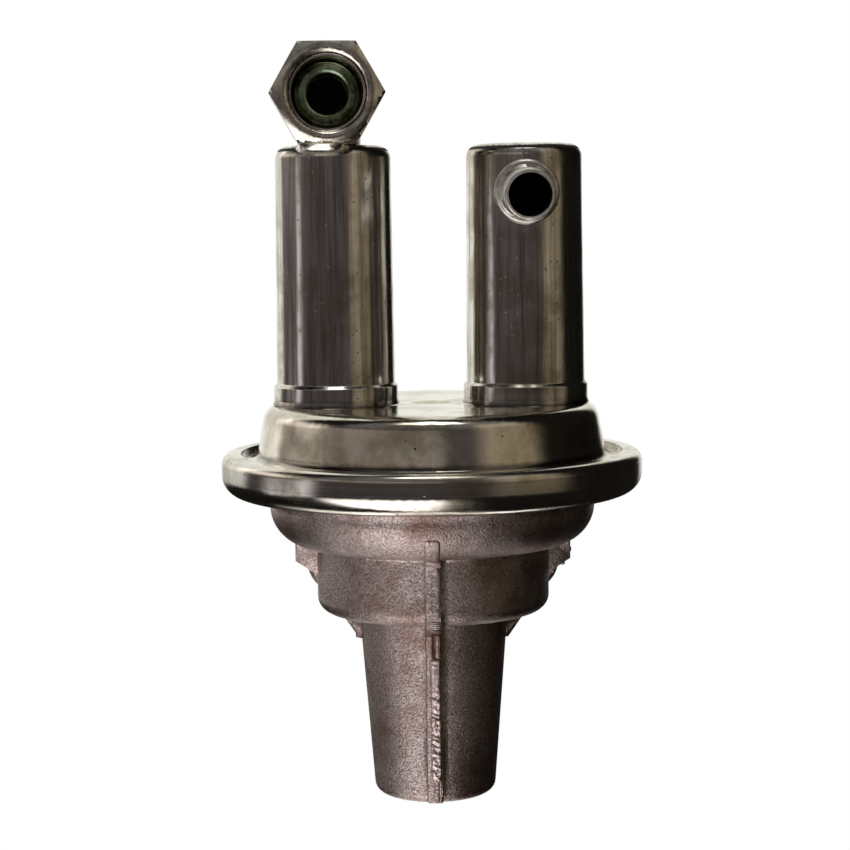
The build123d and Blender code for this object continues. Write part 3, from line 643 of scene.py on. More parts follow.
@dataclass(frozen=True)
class PumpFrame:
    """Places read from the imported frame, in metres.

    Attributes:
        axis: Point on the pump's own axis.
        ring_foot: Level of the crimp ring's foot.
        can_foot: Level of the cans' feet.
        can_top: Level of the cans' tops.
        can_side: Distance of each can's axis from the pump's axis.
        mount_face: How far back the milled mounting face lies.
        port: Middle of the port's threaded wall.
        port_out: Direction out of the port.
        port_radius: Bore radius of the port.
        port_length: Length of the threaded wall.
        nipple: Middle of the hose nipple's open end.
        nipple_out: Direction out of the nipple.
    """

    axis: Vector
    ring_foot: float
    can_foot: float
    can_top: float
    can_side: float
    mount_face: float
    port: Vector
    port_out: Vector
    port_radius: float
    port_length: float
    nipple: Vector
    nipple_out: Vector

    @classmethod
    def read(cls) -> "PumpFrame":
        """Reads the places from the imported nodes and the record's mounts."""
        ring_low, ring_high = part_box("crimp_ring")
        middle = (ring_low + ring_high) / 2
        can_low, can_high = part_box("inlet_can")
        mounts = {mount["name"]: mount for mount in frame["record"]["mounts"]}
        port = mounts["outlet_port"]
        hose = mounts["inlet_nipple"]
        nipple_out = Vector(hose["axis"]).normalized()
        nipple_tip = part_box("inlet_nipple")[0].y
        hose_middle = Vector(hose["pos_m"])
        nipple_end = hose_middle + nipple_out * ((nipple_tip - hose_middle.y) / nipple_out.y)
        return cls(
            axis=Vector((middle.x, middle.y, 0)),
            ring_foot=ring_low.z,
            can_foot=can_low.z,
            can_top=can_high.z,
            can_side=(can_low.x + can_high.x) / 2,
            mount_face=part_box("lower_housing")[1].y,
            port=Vector(port["pos_m"]),
            port_out=Vector(port["axis"]).normalized(),
            port_radius=port["dims"]["r_mm"] * MM,
            port_length=port["dims"]["length_mm"] * MM,
            nipple=nipple_end,
            nipple_out=nipple_out,
        )


PUMP = PumpFrame.read()


def new_object(name: str, mesh: bpy.types.Mesh) -> bpy.types.Object:
    """Links a mesh into the scene as an object at the origin."""
    piece = bpy.data.objects.new(name, mesh)
    bpy.context.scene.collection.objects.link(piece)
    return piece


def smooth_by_angle(mesh: bpy.types.Mesh, angle_deg: float) -> None:
    """Shades a mesh smooth, with edges sharper than the angle kept hard."""
    mesh.shade_smooth()
    mesh.set_sharp_from_angle(angle=math.radians(angle_deg))


def mesh_from(work: bmesh.types.BMesh, name: str, angle_deg: float) -> bpy.types.Mesh:
    """Makes a smooth-shaded mesh of a finished bmesh, and frees the bmesh."""
    mesh = bpy.data.meshes.new(name)
    work.to_mesh(mesh)
    work.free()
    smooth_by_angle(mesh, angle_deg)
    return mesh


def join_rows(
    work: bmesh.types.BMesh, rows: list[list[bmesh.types.BMVert]], around: bool = False
) -> None:
    """Joins closed sections into one skin.

    Args:
        work: The bmesh that holds them.
        rows: The sections, each with as many points.
        around: Whether the last section meets the first. If not, both ends are closed.
    """
    count = len(rows[0])
    for here, there in zip(rows, rows[1:] + rows[:1] if around else rows[1:]):
        for i in range(count):
            j = (i + 1) % count
            work.faces.new((here[i], there[i], there[j], here[j]))
    if not around:
        work.faces.new(rows[0])
        work.faces.new(rows[-1])
    bmesh.ops.recalc_face_normals(work, faces=work.faces)


def level_normals(piece: bpy.types.Object) -> None:
    """Weighs a piece's normals by face area, so that its flats shade flat up to their roundings."""
    weigh = piece.modifiers.new("level_normals", "WEIGHTED_NORMAL")
    weigh.keep_sharp = True
    bpy.context.view_layer.update()
    evaluated = piece.evaluated_get(bpy.context.evaluated_depsgraph_get())
    mesh = bpy.data.meshes.new_from_object(evaluated)
    mesh.name = piece.data.name
    piece.modifiers.remove(weigh)
    piece.data = mesh


def settle(piece: bpy.types.Object, body: str, slot: str) -> None:
    """Rides a finished piece on its body, and logs it."""
    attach(piece, body)
    log.info("%s: %d faces on %s", piece.name, len(piece.data.polygons), body)


def smooth_copy(
    node: str, finish: Finish, material: bpy.types.Material, angle_deg: float = 28.0
) -> bpy.types.Object:
    """Stands a merged, smooth-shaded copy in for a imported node.

    Args:
        node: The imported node's name.
        finish: The finish it takes.
        material: The finish's material.
        angle_deg: Edges sharper than this stay hard.

    Returns:
        The copy.
    """
    source = frame["nodes"][node]
    mesh = source.data.copy()
    mesh.name = f"{node}_skin"
    work = bmesh.new()
    work.from_mesh(mesh)
    bmesh.ops.remove_doubles(work, verts=work.verts, dist=0.002 * MM)
    bmesh.ops.dissolve_degenerate(work, edges=work.edges, dist=0.002 * MM)
    work.to_mesh(mesh)
    work.free()
    mesh.materials.clear()
    mesh.materials.append(material)
    smooth_by_angle(mesh, angle_deg)
    piece = new_object(f"{node}_skin", mesh)
    level_normals(piece)
    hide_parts(node)
    settle(piece, source["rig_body"], finish.slot)
    return piece


def paint(node: str, material: bpy.types.Material) -> None:
    """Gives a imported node's object its finish, with its mesh left as it is."""
    source = frame["nodes"][node]
    for slot in source.material_slots:
        slot.material = material
    if not source.material_slots:
        source.data.materials.append(material)


@dataclass
class GeometryRule:
    """A geometry-nodes tree in the making, with named inputs and one output.

    Attributes:
        name: Name of the piece it makes.
    """

    name: str

    def __post_init__(self) -> None:
        """Starts the tree with its geometry in and out."""
        self.tree = bpy.data.node_groups.new(self.name, "GeometryNodeTree")
        for way in ("OUTPUT", "INPUT"):
            self.tree.interface.new_socket("Geometry", in_out=way, socket_type="NodeSocketGeometry")
        self.values: dict[str, Any] = {}

    def sizes(self, **values: float | int) -> dict[str, bpy.types.NodeSocket]:
        """Adds named inputs.

        Args:
            **values: Value of each input, a whole number for a count.

        Returns:
            The inputs' sockets by name.
        """
        for name, value in values.items():
            kind = "NodeSocketInt" if isinstance(value, int) else "NodeSocketFloat"
            self.tree.interface.new_socket(name, in_out="INPUT", socket_type=kind)
            self.values[name] = value
        entry = add_node(self.tree, "NodeGroupInput")
        return {name: entry.outputs[name] for name in values}

    def bake(
        self, last: bpy.types.NodeSocket, material: bpy.types.Material, angle_deg: float = 40.0
    ) -> bpy.types.Object:
        """Ends the tree, runs it and keeps the result as a plain mesh.

        Args:
            last: The geometry to keep.
            material: Material of the piece.
            angle_deg: Edges sharper than this stay hard.

        Returns:
            The finished piece, at the origin.
        """
        real = add_node(self.tree, "GeometryNodeRealizeInstances", {"Geometry": last})
        dressed = add_node(
            self.tree,
            "GeometryNodeSetMaterial",
            {"Geometry": real.outputs["Geometry"], "Material": material},
        )
        add_node(self.tree, "NodeGroupOutput", {"Geometry": dressed.outputs["Geometry"]})
        carrier = new_object(self.name, bpy.data.meshes.new(f"{self.name}_carrier"))
        modifier = carrier.modifiers.new("rule", "NODES")
        modifier.node_group = self.tree
        for item in self.tree.interface.items_tree:
            if item.in_out == "INPUT" and item.name in self.values:
                modifier[item.identifier] = self.values[item.name]
        bpy.context.view_layer.update()
        evaluated = carrier.evaluated_get(bpy.context.evaluated_depsgraph_get())
        mesh = bpy.data.meshes.new_from_object(evaluated)
        mesh.name = self.name
        carrier.modifiers.clear()
        carrier.data = mesh
        if not mesh.materials:
            mesh.materials.append(material)
        smooth_by_angle(mesh, angle_deg)
        return carrier


def face_place(origin: Vector, out: Vector) -> Matrix:
    """Matrix whose Z axis points out of a port or face, with X level."""
    across = Vector((0, 0, 1)).cross(out).normalized()
    up = out.cross(across)
    return Matrix.Translation(origin) @ Matrix((across, up, out)).transposed().to_4x4()


def move_mesh(piece: bpy.types.Object, place: Matrix) -> None:
    """Puts a piece's place into its mesh, and leaves its object at the origin."""
    piece.data.transform(place)
    piece.data.update()


@dataclass
class SubAssembly(ABC):
    """Some pieces of the pump that are built and dressed together.

    Attributes:
        finishes: Materials by finish.
    """

    finishes: "Finishes"

    @abstractmethod
    def build(self) -> None:
        """Builds and dresses the pieces."""


def lathe(
    name: str, outline: list[tuple[float, float]], steps: int, place: Matrix
) -> bpy.types.Object:
    """Turns a closed outline about the Z axis of a place.

    Args:
        name: Name of the piece.
        outline: Radius and height of its points, in order, none on the axis.
        steps: Divisions round the axis.
        place: Where the axis stands.

    Returns:
        The piece, at the origin.
    """
    work = bmesh.new()
    rings = []
    for step in range(steps):
        angle = math.tau * step / steps
        spoke = Vector((math.cos(angle), math.sin(angle), 0))
        rings.append([work.verts.new(place @ (spoke * r + Vector((0, 0, z)))) for r, z in outline])
    join_rows(work, rings, around=True)
    return new_object(name, mesh_from(work, name, 40.0))


def rounded(corners: list[tuple[float, float, float]], steps: int = 6) -> list[tuple[float, float]]:
    """Rounds a closed outline's corners.

    Args:
        corners: Radius, height and rounding of each corner.
        steps: Points on each rounding.

    Returns:
        Points of the rounded outline.
    """
    points = []
    count = len(corners)
    for i, (r, z, rounding) in enumerate(corners):
        here = Vector((r, z))
        if rounding == 0:
            points.append((r, z))
            continue
        back = (Vector(corners[i - 1][:2]) - here).normalized()
        ahead = (Vector(corners[(i + 1) % count][:2]) - here).normalized()
        half = back.angle(ahead) / 2
        reach = rounding / math.tan(half)
        centre = here + (back + ahead).normalized() * (rounding / math.sin(half))
        start = here + back * reach - centre
        sweep = here + ahead * reach - centre
        turn = start.angle_signed(sweep)
        for step in range(steps + 1):
            spot = centre + Matrix.Rotation(-turn * step / steps, 2) @ start
            points.append((spot.x, spot.y))
    return points


@dataclass(frozen=True)
class Finishes:
    """Every finish on the pump, with its material."""

    can: ZincPlate
    cover: ZincPlate
    ring: ZincPlate
    fitting: ZincPlate
    nipple: ZincPlate
    seat: PlainStock
    braze: PlainStock
    housing: DieCast
    flash: DieCast
    forged: PlainStock
    bare: PlainStock
    wire: PlainStock
    rubber: PlainStock
    inside: PlainStock
    materials: dict[str, bpy.types.Material]

    @classmethod
    def make(cls) -> "Finishes":
        """Makes the finishes and builds their materials."""
        parts = {
            # Drawn cans: die lines run up the wall, and reflections bend slowly
            "can": ZincPlate(
                "zinc_plated_drawn_steel",
                "can",
                grain=Grain.DRAWN,
                roughness=0.11,
                speck_share=0.45,
                speck_mm=1.1,
                streak_share=0.75,
                wave_depth=0.06,
                # Painted shade, partly grime, darkens the cans' feet where they meet the dome
                shade_and_grime_level=PUMP.can_foot,
                shade_and_grime_mm=1.6,
            ),
            # Pressed dome: smooth, a little duller, with a yellow cast, and painted shade with
            # grime at its foot
            "cover": ZincPlate(
                "zinc_plated_pressed_steel",
                "cover",
                bright_hex="D4CEC2",
                dull_hex="A9A18E",
                roughness=0.1,
                cloud_roughness=0.05,
                mark_depth=0.001,
                speck_share=0.12,
                streak_mm=7.0,
                shade_and_grime_level=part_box("crimp_ring")[1].z,
                shade_and_grime_mm=0.9,
            ),
            # Rolled ring: marks run round it
            "ring": ZincPlate(
                "zinc_plated_rolled_steel",
                "ring",
                bright_hex="D6D1C8",
                dull_hex="A9A190",
                roughness=0.13,
                grain=Grain.ROLLED,
                speck_share=0.12,
                # Painted shade, partly grime, darkens the ring's foot where it meets the casting
                shade_and_grime_level=PUMP.ring_foot,
                shade_and_grime_mm=0.5,
            ),
            # Machined block and tube: sharper reflections with fine tool marks
            "fitting": ZincPlate(
                "zinc_plated_machined_steel",
                "fitting",
                bright_hex="D8D3C8",
                dull_hex="A29A8A",
                roughness=0.2,
                cloud_mm=3.0,
                mark_mm=0.4,
                mark_depth=0.006,
                wave_depth=0.01,
                speck_share=0.3,
                speck_mm=1.1,
            ),
            # Tube: tumbled bright before plating, so it scatters more light than the cans
            "nipple": ZincPlate(
                "zinc_plated_tumbled_tube",
                "fitting",
                bright_hex="E2DFD8",
                dull_hex="B9B2A4",
                roughness=0.33,
                cloud_mm=2.4,
                mark_mm=0.4,
                mark_depth=0.012,
                wave_depth=0.01,
            ),
            # Seat: brass gone green, which is the port's one touch of colour
            "seat": PlainStock(
                "green_tarnished_brass",
                "seat",
                light_hex="9CB094",
                dark_hex="58633F",
                roughness=0.3,
                mottle_mm=2.0,
            ),
            # Brazing metal that has flowed and set bright
            "braze": PlainStock(
                "silver_brazing_alloy",
                "fitting",
                light_hex="E4E1DA",
                dark_hex="BDB8AC",
                roughness=0.2,
                mottle_mm=1.5,
                bump_mm=0.03,
            ),
            # Cast skin: matt brown-grey with bright grains, and a milled mounting face
            "housing": DieCast("die_cast_aluminium", "housing"),
            # Flash squeezed out at the die's joint: no pitted skin, so it is paler than the wall
            # and shines where it folds
            "flash": DieCast(
                "trimmed_aluminium_flash",
                "housing",
                light_hex="ECDEDA",
                dark_hex="B7A49F",
                stain_hex="A58A81",
                grain_depth=0.1,
                roughness=0.45,
            ),
            # Forged arm and link: scaled dark skin under oil
            "forged": PlainStock(
                "forged_oiled_steel",
                "arm",
                light_hex="77736E",
                dark_hex="4A4744",
                metallic=0.6,
                roughness=0.45,
                mottle_mm=1.4,
                bump_mm=0.04,
            ),
            # Turned steel: plain bright metal with faint marks
            "bare": PlainStock(
                "bare_turned_steel", "plain_steel", light_hex="B0AFAA", dark_hex="8A8984"
            ),
            # Drawn spring wire: dark and oily
            "wire": PlainStock(
                "oiled_spring_wire", "spring", light_hex="6F6E6B", dark_hex="4A4A48"
            ),
            # Moulded rubber: matt near-black with a faint grain
            "rubber": PlainStock(
                "moulded_nitrile_rubber",
                "rubber",
                light_hex="2A2A29",
                dark_hex="1B1B1A",
                metallic=0.0,
                roughness=0.6,
                bump_mm=0.02,
            ),
            # Inner walls: nearly black, painted shade in the bores and partly fuel varnish, with no
            # shine left
            "inside": PlainStock(
                "varnish_and_painted_shade_steel",
                "can",
                light_hex="1E1A15",
                dark_hex="0E0C0A",
                metallic=0.4,
                roughness=0.6,
                mottle_mm=3.0,
            ),
        }
        return cls(**parts, materials={key: finish.build() for key, finish in parts.items()})

    def dress(self, node: str, key: str, angle_deg: float = 28.0) -> bpy.types.Object:
        """Stands a smooth copy in for a node, in one of the finishes."""
        return smooth_copy(node, getattr(self, key), self.materials[key], angle_deg)

    def darken_inside(
        self, piece: bpy.types.Object, start: Vector, way: Vector, radius: float, depth: float = 0.0
    ) -> None:
        """Gives a piece's walls round an axis the near-black finish: painted shade in the bore,
        partly fuel varnish.

        Args:
            piece: The piece.
            start: Start of the axis.
            way: Direction of the axis.
            radius: Walls nearer to the axis than this are darkened.
            depth: Walls less far along the axis than this stay clean.
        """
        piece.data.materials.append(self.materials["inside"])
        dark = len(piece.data.materials) - 1
        for face in piece.data.polygons:
            reach = [piece.data.vertices[i].co - start for i in face.vertices]
            apart = max((spot - way * spot.dot(way)).length for spot in reach)
            if apart < radius and (face.center - start).dot(way) > depth:
                face.material_index = dark

    def finish_piece(self, piece: bpy.types.Object, body: str, key: str) -> None:
        """Gives a new piece one of the finishes and lets it ride on its body."""
        piece.data.materials.clear()
        piece.data.materials.append(self.materials[key])
        settle(piece, body, getattr(self, key).slot)


@dataclass
class PlatedWorks(SubAssembly):
    """Ring, cover, the two cans, the hexagon block and the hose nipple, all plated.

    Attributes:
        can_inner: Radius that holds the cans' inner walls.
        can_skin: Depth under the cans' tops that stays clean.
        nipple_inner: Radius that holds the nipple's bore.
        nipple_lip: Depth of the clean lip in the nipple's mouth.
        drilling: Radius that holds the passage behind the port.
    """

    can_inner: float = 10.95 * MM
    can_skin: float = 0.5 * MM
    nipple_inner: float = 4.3 * MM
    nipple_lip: float = 1.0 * MM
    drilling: float = 4.4 * MM

    def build(self) -> None:
        """Dresses the plated pieces and darkens their inner walls with painted shade, partly fuel
        varnish.
        """
        self.finishes.dress("crimp_ring", "ring")
        self.finishes.dress("top_cover", "cover")
        down = Vector((0, 0, -1))
        for node, side in (("inlet_can", 1), ("outlet_can", -1)):
            can = self.finishes.dress(node, "can")
            top = Vector((side * PUMP.can_side, PUMP.axis.y, PUMP.can_top))
            self.finishes.darken_inside(can, top, down, self.can_inner, self.can_skin)
        nipple = self.finishes.dress("inlet_nipple", "nipple")
        self.finishes.darken_inside(
            nipple, PUMP.nipple, -PUMP.nipple_out, self.nipple_inner, self.nipple_lip
        )
        block = self.finishes.dress("outlet_fitting", "fitting")
        self.finishes.darken_inside(
            block, PUMP.port, -PUMP.port_out, self.drilling, PUMP.port_length / 2
        )


@dataclass
class Port(SubAssembly):
    """The outlet port's fine thread and its rounded flare seat.

    Attributes:
        pitch: Thread pitch, 18 turns to the inch.
        crest: Height of the crests inside the bore.
        run_in: Plain length left at the mouth.
        seat_bore: Bore radius of the seat.
        seat_crest: Radius of the seat's rounded crest.
        seat_foot: Radius of the seat's foot.
        seat_rise: Height of the crest over the foot.
        seat_drop: Depth of the seat's foot under the threaded wall's end.
        seat_waist: Share of the rise at which the seat's side starts to slope in.
        crest_flat: How far the crest's outer corner lies outside its radius.
        waist_round: Rounding where the side turns in.
        crest_round: Rounding of the crest's outer corner.
        bore_round: Rounding of the crest into the bore.
        thread_steps: Divisions of one turn of the thread.
    """

    pitch: float = 1.411 * MM
    crest: float = 0.45 * MM
    run_in: float = 0.4 * MM
    seat_bore: float = 3.8 * MM
    seat_crest: float = 5.1 * MM
    seat_foot: float = 6.7 * MM
    seat_rise: float = 4.6 * MM
    seat_drop: float = 2.4 * MM
    seat_waist: float = 0.45
    crest_flat: float = 0.75 * MM
    waist_round: float = 0.5 * MM
    crest_round: float = 1.0 * MM
    bore_round: float = 0.9 * MM
    thread_steps: int = 72

    def build(self) -> None:
        """Builds the thread and the seat."""
        self.build_thread()
        self.build_seat()

    def build_thread(self) -> None:
        """Winds a vee-shaped crest along a helix in the bore."""
        rule = GeometryRule("outlet_port_thread")
        turns = (PUMP.port_length - self.run_in) / self.pitch
        size = rule.sizes(
            Turns=turns,
            Radius=PUMP.port_radius,
            Length=turns * self.pitch,
            Crest=self.crest,
            Steps=self.thread_steps,
        )
        helix = add_node(
            rule.tree,
            "GeometryNodeCurveSpiral",
            {
                "Resolution": size["Steps"],
                "Rotations": size["Turns"],
                "Start Radius": size["Radius"],
                "End Radius": size["Radius"],
                "Height": size["Length"],
            },
        )
        profile = add_node(
            rule.tree,
            "GeometryNodeCurvePrimitiveCircle",
            {"Resolution": 4, "Radius": size["Crest"]},
            mode="RADIUS",
        )
        tube = add_node(
            rule.tree,
            "GeometryNodeCurveToMesh",
            {
                "Curve": helix.outputs["Curve"],
                "Profile Curve": profile.outputs["Curve"],
                "Fill Caps": True,
            },
        )
        thread = rule.bake(tube.outputs["Mesh"], self.finishes.materials["fitting"])
        start = PUMP.port - PUMP.port_out * PUMP.port_length / 2
        move_mesh(thread, face_place(start, PUMP.port_out))
        settle(thread, "housing", "fitting")

    def build_seat(self) -> None:
        """Turns the seat with a full round crest in place of its plain cone."""
        foot = PUMP.port - PUMP.port_out * (PUMP.port_length / 2 + self.seat_drop)
        outline = rounded(
            [
                (self.seat_bore, 0.0, 0.0),
                (self.seat_foot, 0.0, 0.0),
                (self.seat_foot, self.seat_rise * self.seat_waist, self.waist_round),
                (self.seat_crest + self.crest_flat, self.seat_rise, self.crest_round),
                (self.seat_bore, self.seat_rise, self.bore_round),
            ]
        )
        seat = lathe("flare_seat_round", outline, 96, face_place(foot, PUMP.port_out))
        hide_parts("flare_seat")
        self.finishes.finish_piece(seat, "housing", "seat")


@dataclass
class BrazedJoints(SubAssembly):
    """Brazing metal that joins the hexagon block to its can.

    Attributes:
        can_radius: Radius of the cans near their tops.
        can_corner: Rounding of the cans' tops.
        spread_deg: Half angle that the brazing under the block spans round the can.
        lean_deg: Angle of its middle to the left of straight ahead.
        drop: How far the brazing runs down the can's wall.
        steps: Divisions of the brazing.
        skin_depth: How deep its empty ends lie under the can's skin.
        stand_out: How far its upper edge reaches past the can's wall.
        hollow: Depth of the hollow down its face.
        wrap_deg: Angle round the can's rounded top that its face covers.
        face_steps: Divisions of its face.
        root_inset: How far its root lies inside the can's flat top.
        root_low: Drop of the root's lower corner.
    """

    can_radius: float = 11.28 * MM
    can_corner: float = 2.4 * MM
    spread_deg: float = 34.0
    lean_deg: float = 9.0
    drop: float = 2.1 * MM
    steps: int = 48
    skin_depth: float = 0.12 * MM
    stand_out: float = 0.55 * MM
    hollow: float = 0.35 * MM
    wrap_deg: float = 80.0
    face_steps: int = 8
    root_inset: float = 0.4 * MM
    root_low: float = 0.5 * MM

    def build(self) -> None:
        """Fills the gap between the block and the can's rounded top, in front and behind."""
        for side, middle_deg in (("front", -90.0 - self.lean_deg), ("back", 90.0 - self.lean_deg)):
            work = bmesh.new()
            rows = []
            for step in range(self.steps + 1):
                share = 2 * step / self.steps - 1
                angle = math.radians(middle_deg + share * self.spread_deg)
                full = 1 - abs(share) ** 3
                spoke = Vector((math.cos(angle), math.sin(angle), 0))
                rows.append([work.verts.new(self.spot(spoke, r, z)) for r, z in self.outline(full)])
            join_rows(work, rows)
            name = f"block_brazing_{side}"
            piece = new_object(name, mesh_from(work, name, 50.0))
            self.finishes.finish_piece(piece, "housing", "braze")

    def spot(self, spoke: Vector, radius: float, drop: float) -> Vector:
        """Point at a radius from the left can's axis and a drop under its top."""
        return Vector((-PUMP.can_side, PUMP.axis.y, PUMP.can_top - drop)) + spoke * radius

    def outline(self, full: float) -> list[tuple[float, float]]:
        """Section through the brazing, as radius and drop.

        Args:
            full: How full the gap is, 0 to 1.

        Returns:
            Points of the closed section.
        """
        inner = self.can_radius - self.can_corner
        sunk = self.can_corner - self.skin_depth
        face = []
        for step in range(self.face_steps + 1):
            share = step / self.face_steps
            turn = share * math.radians(self.wrap_deg)
            skin = Vector((inner + sunk * math.sin(turn), self.can_corner - sunk * math.cos(turn)))
            proud = self.stand_out * (1 - share) - self.hollow * math.sin(math.pi * share)
            pool = Vector((self.can_radius + proud, self.drop * share))
            face.append(tuple(skin.lerp(pool, full)))
        root = inner - self.root_inset
        return [(root, self.skin_depth), *face, (root, self.root_low)]


def even_path(corners: list[tuple[float, float]], step: float) -> list[Vector]:
    """Rounds a path's corners off and divides it evenly.

    Args:
        corners: The path's corners.
        step: Distance between the points.

    Returns:
        The points.
    """
    points = [Vector(corner) for corner in corners]
    for _ in range(3):
        cut = [points[0]]
        for here, there in zip(points, points[1:]):
            cut += [here.lerp(there, 0.25), here.lerp(there, 0.75)]
        points = [*cut, points[-1]]
    even = [points[0]]
    left = step
    for here, there in zip(points, points[1:]):
        length = (there - here).length
        while left <= length:
            even.append(here.lerp(there, left / length))
            left += step
        left -= length
    return even


def dent(place: float, middle: float, half: float) -> float:
    """1 at a middle, falling smoothly to 0 a few half widths away."""
    return math.exp(-(((place - middle) / half) ** 2))


@dataclass(frozen=True)
class Ridge:
    """A ridge of cast metal along a path in front of the axis.

    Attributes:
        name: Name of the piece.
        key: Name of its finish.
        path: Distance out and rise of the path's corners, from its top down.
        side: Distance of the ridge's middle to the right.
        half: Half its width.
        height: Height of its crown.
        relief: Gives the shares of width and height at a rise and a place across.
    """

    name: str
    key: str
    path: list[tuple[float, float]]
    side: float
    half: float
    height: float
    relief: Callable[[float, float], tuple[float, float]]


@dataclass
class Casting(SubAssembly):
    """The die casting, with the marks of its die on the front rib and the gussets.

    Attributes:
        nose_length: Length of the nose.
        cup_height: Height of the cup over it.
        bowl_height: Height of the bowl over the cup.
        bowl_corner: Rounding of the bowl's foot.
        bowl_corner_out: Distance of that rounding's middle from the axis.
        cup_face: Distance of the rib's face from the axis along the cup.
        nose_root: The same at the nose's root.
        nose_tip: The same at the nose's foot.
        crown_half: Half width of the rib's crown.
        crown_height: Height of the crown.
        crown_side: Distance of its middle to the right.
        neck_top: Rise of the upper end of the groove down the rib's neck.
        flash_top: Rise of the flash's upper end.
        flash_torn: Rise where its torn part starts.
        flash_foot: Rise of its lower end.
        flash_half: Half its width.
        flash_height: How far it stands out.
        flash_side: Distance of its middle to the right.
        tear_mm: Spacing of the tears.
        across_steps: Divisions across a ridge.
        ridge_step: Distance between a ridge's sections.
        ridge_sunk: How deep a ridge's edges lie in the wall.
        blunt_rows: Sections over which a ridge's end rounds off.
    """

    nose_length: float = 36.7 * MM
    cup_height: float = 13.4 * MM
    bowl_height: float = 10.0 * MM
    bowl_corner: float = 7.6 * MM
    bowl_corner_out: float = 24.4 * MM
    cup_face: float = 23.8 * MM
    nose_root: float = 15.65 * MM
    nose_tip: float = 12.8 * MM
    crown_half: float = 1.5 * MM
    crown_height: float = 0.42 * MM
    crown_side: float = -0.12 * MM
    neck_top: float = 35.6 * MM
    flash_top: float = 29.6 * MM
    flash_torn: float = 22.6 * MM
    flash_foot: float = 5.0 * MM
    flash_half: float = 1.08 * MM
    flash_height: float = 1.15 * MM
    flash_side: float = 0.24 * MM
    tear_mm: float = 2.1
    across_steps: int = 18
    ridge_step: float = 0.14 * MM
    ridge_sunk: float = 0.15 * MM
    blunt_rows: float = 5.0

    @property
    def foot(self) -> float:
        """Level of the nose's foot."""
        return PUMP.ring_foot - self.nose_length - self.cup_height - self.bowl_height

    def nose_face(self, rise: float) -> tuple[float, float]:
        """Distance out and rise of a point on the rib's face along the nose."""
        share = rise / self.nose_length
        return (self.nose_tip + (self.nose_root - self.nose_tip) * share, rise)

    def crown_path(self) -> list[tuple[float, float]]:
        """Distance out and rise of the rib's face, from the bowl's rounding to the nose's foot."""
        cup_top = self.nose_length + self.cup_height
        middle = Vector((self.bowl_corner_out, cup_top + self.bowl_corner))
        arc = []
        for angle_deg in (68, 56, 44, 32, 20):
            angle = math.radians(angle_deg)
            spoke = Vector((math.sin(angle), -math.cos(angle)))
            arc.append(tuple(middle + spoke * self.bowl_corner))
        return [
            *arc,
            # In to the cup and down its wall
            (self.cup_face + 0.9 * MM, cup_top - 0.2 * MM),
            (self.cup_face, cup_top - 1.4 * MM),
            (self.cup_face, self.nose_length + 2.6 * MM),
            # Round the cup's foot and in to the nose
            (self.cup_face - 0.8 * MM, self.nose_length + 0.5 * MM),
            (self.cup_face - 3.2 * MM, self.nose_length - 1.2 * MM),
            (self.nose_root + 1.2 * MM, self.nose_length - 1.9 * MM),
            # Down the nose
            self.nose_face(self.nose_length - 3.4 * MM),
            self.nose_face(1.0 * MM),
            (self.nose_tip - 0.5 * MM, 0.25 * MM),
        ]

    def crown_relief(self, rise: float, across: float) -> tuple[float, float]:
        """Width and height of the crown as shares: a faint seam, and a groove down the neck.

        Args:
            rise: Rise over the nose's foot.
            across: Place across, -1 at the left edge and 1 at the right.

        Returns:
            Share of the width, and share of the height.
        """
        lumps = noise.noise(Vector((across, rise / MM / 1.2, 3.0)))
        slow = noise.noise(Vector((0, rise / MM / 2.6, 7.0)))
        in_neck = 1.0 if self.flash_top < rise < self.neck_top else 0.0
        seam = 0.12 * dent(across, 0.08, 0.1) + 1.1 * in_neck * dent(across, 0.12, 0.16)
        seam += 0.35 * dent(across, 0.62, 0.07) * (rise < self.flash_foot)
        return 1 + 0.05 * slow, 1 + 0.14 * lumps - seam

    def flash_relief(self, rise: float, across: float) -> tuple[float, float]:
        """Width and height of the flash as shares: smooth above, torn across on the slant below.

        Args:
            rise: Rise over the nose's foot.
            across: Place across, -1 at the left edge and 1 at the right.

        Returns:
            Share of the width, and share of the height.
        """
        down = (self.flash_top - rise) / MM
        drift = noise.noise(Vector((0.0, down / 2.3, 5.0)))
        lumps = noise.noise(Vector((across * 1.4, down / 0.7, 11.0)))
        fold, tear = divmod((down - 0.9 * across + 2.4 * drift) / self.tear_mm, 1.0)
        deep = 0.25 + 0.35 * noise.noise(Vector((fold * 0.73, 0.0, 2.0)))
        torn = 1.0 if rise < self.flash_torn else 0.0
        edge = 1 + 0.14 * drift + 0.22 * torn * (0.5 - tear) * (across > 0)
        rough = 0.07 + 0.17 * torn
        return edge, 0.85 + rough * lumps - deep * torn * tear**1.7 + 0.14 * drift

    def build(self) -> None:
        """Dresses the casting and adds the rib's crown, the flash and the nubs."""
        self.finishes.dress("lower_housing", "housing", 35.0)
        crown = (self.crown_side, self.crown_half, self.crown_height, self.crown_relief)
        self.build_ridge(Ridge("rib_crown", "housing", self.crown_path(), *crown))
        path = [self.nose_face(self.flash_top), self.nose_face(self.flash_foot)]
        flash = (self.flash_side, self.flash_half, self.flash_height, self.flash_relief)
        self.build_ridge(Ridge("rib_flash", "flash", path, *flash))
        self.build_nubs()

